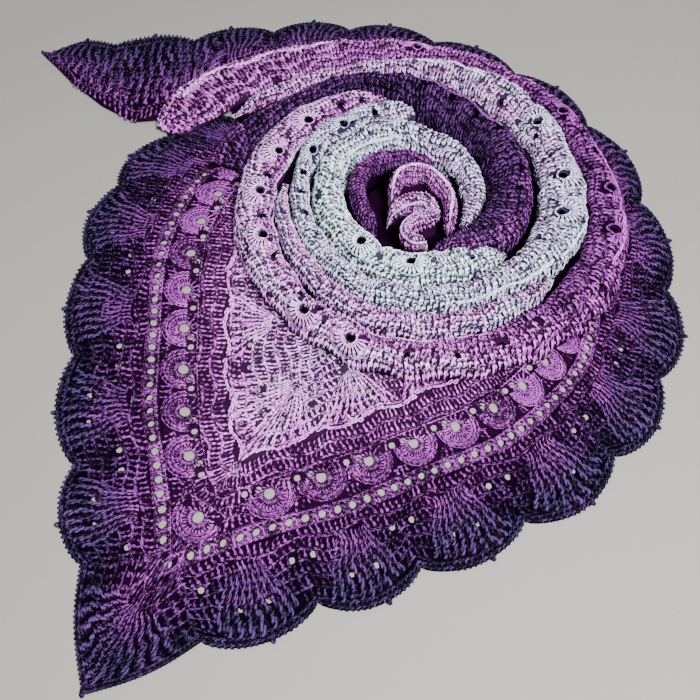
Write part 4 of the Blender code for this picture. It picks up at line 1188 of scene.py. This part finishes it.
# %% Light fans
FAN_TOP = 14.1
PANEL_REACH = 28.0      # length of the panel on each arm
DRAWN_IN = 0.8          # share of its width by which a fan draws together at its hub
# Columns: arm, length at the middle of its spread end, its half width there, length and depth of its hub.
LIGHT_FANS = (
    (1, 26.9, 4.3, 27.7, 17.9), (1, 35.4, 4.2, 35.6, 17.9),
    (-1, 31.0, 4.4, 31.2, 17.6), (-1, 39.8, 4.4, 39.6, 17.4),
)
SPINE_FAN = (8.6, 5.9)  # its half widths on the left arm and on the right


def fan_surface(side, middle, half, hub, hub_depth):
    """The surface of one light fan: u across it, v inwards from its spread end."""
    def place(u, v):
        length = middle + (hub - middle) * v + (2 * u - 1) * half * (1.0 - DRAWN_IN * v)
        return (*flat_point(side, length, FAN_TOP + (hub_depth - FAN_TOP) * v), BORDER_FLOOR)

    return surface_of(place, 24, 10)


def spine_fan_place(u, v):
    depth = FAN_TOP + (FAN_HUB_DEPTH - FAN_TOP) * v
    share = (2 * u - 1) * (1.0 - DRAWN_IN * v)
    arm = -1 if share < 0 else 1
    return (*flat_point(arm, spine_length(depth) + abs(share) * SPINE_FAN[arm > 0], depth), BORDER_FLOOR)


ridge_chain = stitch(
    chain_loop((0.0, 0.3), (0.55, 0.3), 0.22, half=0.11, points=7), 0.55, 0.6, YARN * 1.2,
)
shade = depth_shade(LACE_DEPTH, PANEL_DEPTH)
sheets, stitches = [], []
for side in (-1, 1):
    surface = band_surface(side, LACE_DEPTH, PANEL_DEPTH, LACE_DEPTH, PANEL_REACH)
    sheets.append(lay_ground(surface, 90, 26, shade, panel_holes, seen))
    stitches += [
        lay_stitches(ridge_chain, surface, 56, 1, lambda u, v: shade(u, v) + 0.03, band=(0.0, 0.07),
                     keep=seen, seed=25, loose=0.10),
        lay_stitches(double_crochet, surface, 56, 8, shade, band=(1.0, 0.07), keep=seen, seed=27,
                     holes=panel_holes, lift=-0.03, loose=0.05),
    ]
fans = [(10, fan_surface(*row)) for row in LIGHT_FANS] + [(15, surface_of(spine_fan_place, 36, 10))]
for number, (ribs, fan) in enumerate(fans):
    stitches.append(lay_stitches(rib_stitch, fan, ribs, 5, shade, band=(1.0, 0.0), keep=seen,
                                 seed=70 + number, holes=panel_holes, margin=0.0, loose=0.04))
dress("fan_panel", "mauve", sheets, stitches)

# %% [markdown]
# ## Rolled folds
#
# The rest of the shawl is wound into rolls. Their section is an arch, and their soft dents were placed
# where the cloth sags between the layers. Rows of low puffed stitches run along each roll, with
# holes, a few shells of the lace and the chained edges of the cloth where they come to the top.

# %% Tables of what shows on the rolls
# Dents. Columns: angle, share across, depth in cm, half length in degrees, half width as a share.
DENTS = {
    "mauve": (
        (118, 0.35, 0.22, 9, 0.3), (131, 0.7, 0.3, 3, 0.3), (168, 0.62, 0.34, 3, 0.4),
        (187, 0.6, 0.3, 3, 0.35), (216, 0.3, 0.28, 4, 0.3), (225, 0.75, 0.25, 5, 0.3),
        (254, 0.65, 0.32, 4, 0.35), (281, 0.35, 0.3, 4, 0.35), (290, 0.7, 0.24, 3, 0.3),
        (316, 0.55, 0.32, 4, 0.4), (342, 0.35, 0.36, 4, 0.4), (359, 0.6, 0.38, 3, 0.4),
        (384, 0.45, 0.36, 4, 0.4), (391, 0.75, 0.28, 3, 0.3), (418, 0.4, 0.34, 4, 0.4),
        (431, 0.65, 0.3, 3, 0.3), (462, 0.35, 0.34, 4, 0.4), (471, 0.7, 0.28, 3, 0.3),
        (492, 0.4, 0.3, 4, 0.4), (150, 0.6, 0.28, 11, 0.22), (176, 0.3, 0.18, 8, 0.35),
        (204, 0.55, 0.3, 10, 0.25), (238, 0.25, 0.25, 8, 0.3), (268, 0.6, 0.22, 14, 0.22),
        (300, 0.4, 0.3, 9, 0.3), (334, 0.55, 0.35, 12, 0.25), (372, 0.3, 0.3, 10, 0.3),
        (405, 0.6, 0.25, 13, 0.25), (446, 0.35, 0.3, 9, 0.35), (480, 0.55, 0.25, 10, 0.25),
    ),
    "white": (
        (112, 0.6, 0.22, 10, 0.25), (125, 0.4, 0.28, 3, 0.4), (143, 0.65, 0.32, 3, 0.35),
        (166, 0.55, 0.34, 3, 0.4), (183, 0.35, 0.3, 4, 0.4), (196, 0.65, 0.3, 3, 0.35),
        (213, 0.4, 0.34, 3, 0.4), (242, 0.65, 0.32, 4, 0.35), (258, 0.35, 0.28, 3, 0.4),
        (291, 0.6, 0.36, 4, 0.4), (309, 0.35, 0.34, 4, 0.4), (322, 0.65, 0.34, 3, 0.35),
        (359, 0.45, 0.4, 4, 0.45), (383, 0.6, 0.38, 4, 0.4), (405, 0.35, 0.36, 3, 0.4),
        (431, 0.55, 0.3, 4, 0.4), (471, 0.5, 0.26, 3, 0.4), (158, 0.35, 0.25, 12, 0.3),
        (224, 0.5, 0.22, 14, 0.25), (276, 0.4, 0.28, 12, 0.3), (338, 0.55, 0.38, 12, 0.25),
        (376, 0.3, 0.35, 10, 0.25), (412, 0.6, 0.28, 11, 0.25), (452, 0.45, 0.22, 13, 0.3),
    ),
    "mint": (
        (20, 0.5, 0.2, 14, 0.3), (84, 0.4, 0.25, 12, 0.3), (48, 0.55, 0.26, 5, 0.4), (112, 0.55, 0.3, 5, 0.4),
        (131, 0.35, 0.28, 4, 0.35), (168, 0.6, 0.34, 5, 0.4), (190, 0.45, 0.36, 4, 0.4),
        (238, 0.6, 0.34, 4, 0.4), (286, 0.45, 0.3, 5, 0.4), (304, 0.6, 0.26, 4, 0.35),
        (146, 0.6, 0.28, 14, 0.25), (208, 0.35, 0.25, 12, 0.3), (262, 0.55, 0.3, 15, 0.25),
    ),
    "purple": (
        (12, 0.55, 0.25, 12, 0.3), (58, 0.4, 0.3, 10, 0.3), (100, 0.55, 0.25, 12, 0.3),
        (132, 0.35, 0.2, 9, 0.35),
    ),
    "lace": (
        (215, 0.5, 0.12, 12, 0.3), (285, 0.5, 0.14, 10, 0.3),
    ),
}
# Change of colour along the rolls. Columns: angle, place along the change.
ROLL_SHADES = {
    "mauve": (
        (96, 0.6), (140, 0.62), (200, 0.64), (250, 0.62), (290, 0.52), (325, 0.36), (400, 0.33), (425, 0.42),
        (450, 0.5), (516, 0.52),
    ),
    "lace": (
        (168, 0.74), (240, 0.62), (325, 0.7),
    ),
    "white": (
        (86, 0.8), (150, 0.84), (215, 0.82), (330, 0.8), (420, 0.74), (460, 0.68), (506, 0.62),
    ),
    "mint": (
        (-28, 0.74), (60, 0.76), (95, 0.82), (150, 0.94), (210, 1), (323, 0.92),
    ),
    "purple": (
        (-82, 0.22), (35, 0.18), (100, 0.16), (162, 0.22),
    ),
}
# Holes of the lace. Columns: first angle, last angle, how many, place across the roll, radius of a hole.
ROLL_HOLES = {
    "mauve": (
        (112, 232, 14, 0.62, 0.26), (236, 322, 7, 0.38, 0.3), (330, 420, 8, 0.3, 0.28),
    ),
    "white": (
        (110, 205, 8, 0.6, 0.26), (335, 425, 9, 0.66, 0.3),
    ),
    "mint": (
        (150, 300, 6, 0.4, 0.24),
    ),
    "purple": (
        (5, 100, 8, 0.45, 0.26),
    ),
}
# Shells. Columns: angle, place of the hole across the roll.
ROLL_SHELLS = {
    "mauve": (
        (141, 0.6), (159, 0.6), (178, 0.57), (196, 0.55), (228, 0.42), (246, 0.42), (350, 0.4), (366, 0.4),
        (398, 0.42), (448, 0.45),
    ),
    "white": (
        (132, 0.6), (154, 0.6), (350, 0.55), (368, 0.55), (396, 0.55),
    ),
    "mint": (
        (226, 0.5), (262, 0.5),
    ),
}
# Edges of cloth. Columns: first angle, last angle, place across the roll.
ROLL_RIMS = {
    "mauve": (
        (338, 384, 0.2), (128, 196, 0.8), (250, 292, 0.72), (470, 508, 0.3),
    ),
    "white": (
        (284, 328, 0.2), (333, 352, 0.2), (176, 208, 0.72), (424, 448, 0.36),
    ),
    "mint": (
        (102, 160, 0.62), (214, 290, 0.66),
    ),
    "purple": (
        (44, 88, 0.36),
    ),
}
ROLL_INSET = 0.13       # how far the ground cloth lies under the solid's face
ROLL_SHELL_SIZE = 0.92  # the shells of the rolls are seen pulled together
TUCK = 9.0              # length in degrees over which the end of a roll sinks under its neighbour
TUCK_DEPTH = 1.1        # how far it sinks, in cm
print("dents", sum(map(len, DENTS.values())), "and shells", sum(map(len, ROLL_SHELLS.values())))


# %% Surface of a roll
def dented(roll, angle, share):
    """How far the ground cloth lies under the solid's face, with the dents."""
    depth = 0.0
    for at, across, deep, long, wide in DENTS[roll]:
        depth += deep * math.exp(-((angle - at) / long) ** 2 - ((share - across) / wide) ** 2)
    return ROLL_INSET + depth


def roll_surface(roll, first, last, slant, tucked):
    """The surface of a roll. tucked says which of its ends sink away: its first, its last or none."""
    def place(u, v):
        share = 0.02 + 0.96 * v
        start = first - slant * share
        angle = start + (last - start) * u
        inset = dented(roll, angle, share)
        for end, away in (("first", angle - start), ("last", last - angle)):
            if end in tucked:
                inset += TUCK_DEPTH * max(0.0, 1.0 - away / TUCK) ** 2
        outer, inner = read_table(ROLLS[roll], angle)[:2]
        return roll_point(roll, angle, share, min(inset, 0.45 * (outer - inner)))

    return surface_of(place, max(8, int(last - first) // 2), 24)


def roll_size(surface):
    """Length along and across a roll, in cm."""
    steps = np.linspace(0, 1, 41)
    half, none = np.full(41, 0.5), np.zeros(41)
    along, across = surface(steps, half, none), surface(half, steps, none)
    return [float(np.linalg.norm(np.diff(line, axis=0), axis=1).sum()) for line in (along, across)]


def roll_holes(roll, first, last):
    """Holes of a roll, clear of its ends."""
    places = [(start + (end - start) * number / (count - 1), share, radius)
              for start, end, count, share, radius in ROLL_HOLES.get(roll, ()) for number in range(count)]
    return [(*roll_point(roll, angle, share, dented(roll, angle, share)), radius + 0.05)
            for angle, share, radius in places if first + 2.5 < angle < last - 2.5]


# %% Shells of the rolls
roll_shell = stitch(
    ring_of_loops(shell_middle, 0.58, 9, 0.18, half=0.06)
    + shell_posts(range(-96, 97, 16), 0.66, lambda angle: 1.62, 0.22, spread=0.07)
    + ring_of_loops(shell_middle, 1.80, 13, 0.20, -98, 196, half=0.10),
    SHELL_PITCH, SHELL_HEIGHT, YARN * 0.9,
)


def shell_patch(surface, at, middle, along, across):
    """A patch of a roll as large as a shell. Its hole lies at at along the roll and middle across it."""
    return lambda u, v, height: surface(
        at + (u - 0.5) * SHELL_PITCH * ROLL_SHELL_SIZE / along,
        middle + (v * SHELL_HEIGHT - SHELL_HOLE_PLACE) * ROLL_SHELL_SIZE / across,
        height,
    )


# %% Dressing the rolls
def dress_roll(node, roll, first, last, slot, slant, tucked, seed):
    surface = roll_surface(roll, first, last, slant, tucked)
    along, across = roll_size(surface)

    def shade(u, v):
        return np.interp(first + (last - first) * u, *np.array(ROLL_SHADES[roll]).T) + 0.05 * np.sin(7 * v)

    patches, hubs, around = [], [], []
    for angle, middle in ROLL_SHELLS.get(roll, ()):
        at = (angle - first) / (last - first)
        if 0.08 < at < 0.92:
            patches.append(shell_patch(surface, at, middle, along, across))
            for places, outwards, radius in ((hubs, 0.0, 0.42), (around, 0.0, 0.60), (around, 0.85, 1.05)):
                away = middle - outwards * ROLL_SHELL_SIZE / across
                point = surface(np.array([at]), np.array([away]), np.array([0.0]))[0]
                places.append((*point, radius * ROLL_SHELL_SIZE))
    holes = [hole for hole in roll_holes(roll, first, last)
             if not near_holes(np.array([hole[:3]]), around)[0]]
    # The innermost row is left out where a neighbour hides it.
    inner = 1.0 if roll in ("mint", "purple") else 0.88
    columns, rows = round(along / 0.43), max(2, round(inner * across / 0.92))
    stitches = [lay_stitches(roll_stitch, surface, columns, rows, shade, holes=holes + around, margin=0.05,
                             seed=seed, loose=0.07, band=(0.0, inner))]
    for start, end, middle in ROLL_RIMS.get(roll, ()):
        if first < start and end < last:
            ends = ((start - first) / (last - first), (end - first) / (last - first))
            stitches.append(lay_stitches(
                ridge_chain, surface, round((ends[1] - ends[0]) * along / 0.5), 1,
                lambda u, v: shade(u, v) + 0.08, span=ends, band=(middle, middle + 0.6 / across),
                seed=seed, loose=0.05, lift=0.02,
            ))
    own_shade = one_shade(shade(np.array([0.5]), np.array([0.5]))[0] + 0.04)
    stitches += [lay_stitches(roll_shell, patch, 1, 1, own_shade, seed=seed) for patch in patches]
    sheet = lay_ground(surface, round(along / 0.45), round(across / 0.45), shade, holes + hubs)
    dress(node, slot, [sheet], stitches)


# Columns: node, roll, first angle, last angle, colour, how far the first end runs back, in degrees,
# and which end is tucked away.
for number, row in enumerate((
    ("pink_fold_left", "mauve", 108, 215, "mauve", 10, "first"),
    ("pink_fold_front", "mauve", 215, 322, "mauve", 0, ""),
    ("magenta_fold_right", "mauve", 322, 420, "magenta", 0, ""),
    ("pink_fold_tail", "mauve", 420, 516, "mauve", 0, "last"),
    ("lace_fold_front", "lace", 168, 325, "lavender", 0, "first last"),
    ("lavender_fold_left", "white", 96, 215, "lavender", 9, "first"),
    ("white_fold_front", "white", 215, 330, "lavender", 0, ""),
    ("white_fold_right", "white", 330, 420, "lavender", 0, ""),
    ("grey_fold_tail", "white", 420, 506, "lavender", 0, "last"),
    ("grey_fold_inner", "mint", -28, 95, "mint", 0, "first"),
    ("mint_fold_left", "mint", 95, 210, "mint", 0, ""),
    ("mint_fold_front", "mint", 210, 323, "mint", 0, "last"),
    ("purple_fold_inner", "purple", -82, 35, "purple", 0, "first"),
    ("purple_fold_top", "purple", 35, 162, "purple", 0, ""),
)):
    dress_roll(*row, 30 + number)

# %% [markdown]
# ## The curled middle
#
# The end of the left arm curls up in the middle like a rosette of three narrow ribbons. Each follows its
# own line on the plan, and its section is the same arch as the rolls'.

# %% Ribbons
RIBBON_END = 0.8        # length in cm over which the ends of a ribbon close
# Columns: length along the ribbon, x, y, half width, crest height.
PURPLE_RIBBON = (
    (0, 2, 10.4, 0.6, 3.6), (2.5, 0.9, 12.6, 0.7, 4.2), (5, 0.7, 15, 0.75, 4.5), (7.6, 2.4, 16.9, 0.75, 4.6),
    (10.2, 5, 17.3, 0.7, 4.6), (12.8, 7.5, 16.5, 0.6, 4.4),
)
PINK_RIBBON = (
    (0, 3.7, 13.7, 0.5, 4.4), (1.7, 4.4, 15.1, 0.6, 4.9), (3.6, 6.2, 15.3, 0.6, 5.1),
    (5.6, 7.8, 14.1, 0.6, 5.1), (7.7, 8.6, 12.2, 0.55, 4.9), (9.5, 8.5, 10.5, 0.5, 4.5),
)
TONGUE_RIBBON = (
    (0, 3.4, 11.6, 0.6, 4.2), (1.6, 4.9, 12.2, 0.8, 4.8), (3.3, 6.6, 12, 0.7, 5), (4.6, 7.1, 10.8, 0.5, 4.9),
    (6.2, 5.7, 10.3, 0.5, 4.8), (7.7, 4.7, 9.3, 0.5, 4.6), (9.2, 5.4, 8.4, 0.45, 4.4),
    (10.5, 6.4, 8.7, 0.4, 4),
)


def ribbon_place(table, u, v):
    whole = table[-1][0]
    length = whole * u
    x, y, half, crest = read_table(table, length)
    closing = 1.0 - min(1.0, min(length, whole - length) / RIBBON_END)
    full = math.sqrt(1.0 - closing**2)
    half, crest = 0.12 + (half - 0.12) * full, 1.2 + (crest - 1.2) * full
    ahead = read_table(table, length + 0.2)[:2] - read_table(table, max(length - 0.2, 0.0))[:2]
    ahead /= np.hypot(*ahead)
    offset, height = arch(half - 0.1, 0.1 - half, (1.0, 1.0), crest - 0.1, 0.5, v)
    return x - ahead[1] * offset, y + ahead[0] * offset, height


def dress_ribbon(node, table, slot, near, far, rim, seed):
    surface = surface_of(lambda u, v: ribbon_place(table, u, v), 48, 20)
    along, across = roll_size(surface)

    def shade(u, v):
        return near + (far - near) * (1 - np.abs(2 * v - 1))

    columns, rows = round(along / 0.42), max(2, round(0.68 * across / 0.85))
    stitches = [
        lay_stitches(roll_stitch, surface, columns, rows, shade, band=(0.16, 0.84), seed=seed, loose=0.06),
    ]
    if rim:
        stitches.append(lay_stitches(
            ridge_chain, surface, round(along / 0.5), 1, lambda u, v: shade(u, v) + 0.12,
            band=(rim, rim + 0.09), lift=0.04, seed=seed, loose=0.03,
        ))
    sheet = lay_ground(surface, round(along / 0.35), round(across / 0.35), shade)
    dress(node, slot, [sheet], stitches)


dress_ribbon("purple_ribbon", PURPLE_RIBBON, "purple", 0.2, 0.30, 0, 51)
dress_ribbon("pink_ribbon", PINK_RIBBON, "mauve", 0.42, 0.58, 0.45, 52)
dress_ribbon("tongue_ribbon", TONGUE_RIBBON, "mauve", 0.50, 0.60, 0.60, 53)

# %% [markdown]
# ## Hidden layers
#
# Under the rolls lie more turns of the same cloth. They show only as dark edges between the rolls, so
# one low heap with grooves at its edge stands for them, in the same thin ground cloth.

# %% Hidden layers
# Section of the heap. Columns: place along it, share of its radius, how far in from the edge, height.
HEAP_SECTION = (
    (0, 1.0, 0.10, 0.04), (1, 1.0, 0.00, 0.24), (2, 1.0, 0.10, 0.48), (3, 1.0, 0.00, 0.72),
    (4, 1.0, 0.12, 0.94), (5, 0.7, 0.12, 0.98), (6, 0.3, 0.12, 0.98), (7, 0.01, 0.0, 0.98),
)
# How much further the heap reaches where it shows beside the end of the border. Columns: angle, cm.
# Painted shade: beside the end of the border, the heap's dark cloth also fills a gap whose darkness is shade.
HEAP_WEDGE = ((137, 0.0), (140.5, 4.6), (145, 4.4), (147.5, 0.0))
heap_rows = len(HEAP_SECTION) - 1


def heap_place(u, v):
    angle = 360.0 * u
    share, inset, height = [read_straight(HEAP_SECTION, v * heap_rows, column) for column in (1, 2, 3)]
    return round_swirl((heap_radius(angle) + read_straight(HEAP_WEDGE, angle)) * share - inset, angle, height)


heap_cloth = surface_of(heap_place, 120, heap_rows)
shade = one_shade(0.25)
stitches = [lay_stitches(low_stitch, heap_cloth, 150, 1, shade, band=(0.0, 0.5), seed=60, lift=-0.05)]
sheet = lay_ground(heap_cloth, 120, heap_rows, shade, depth=0.0)
dress("hidden_layers", "purple", [sheet], stitches)

# %% [markdown]
# ## Triangles of yarn
#
# The stitches stand a little proud of the solids. The triangles of yarn are added up and printed.

# %% Triangles and the end
print("triangles of yarn in all", sum(triangles.values()))
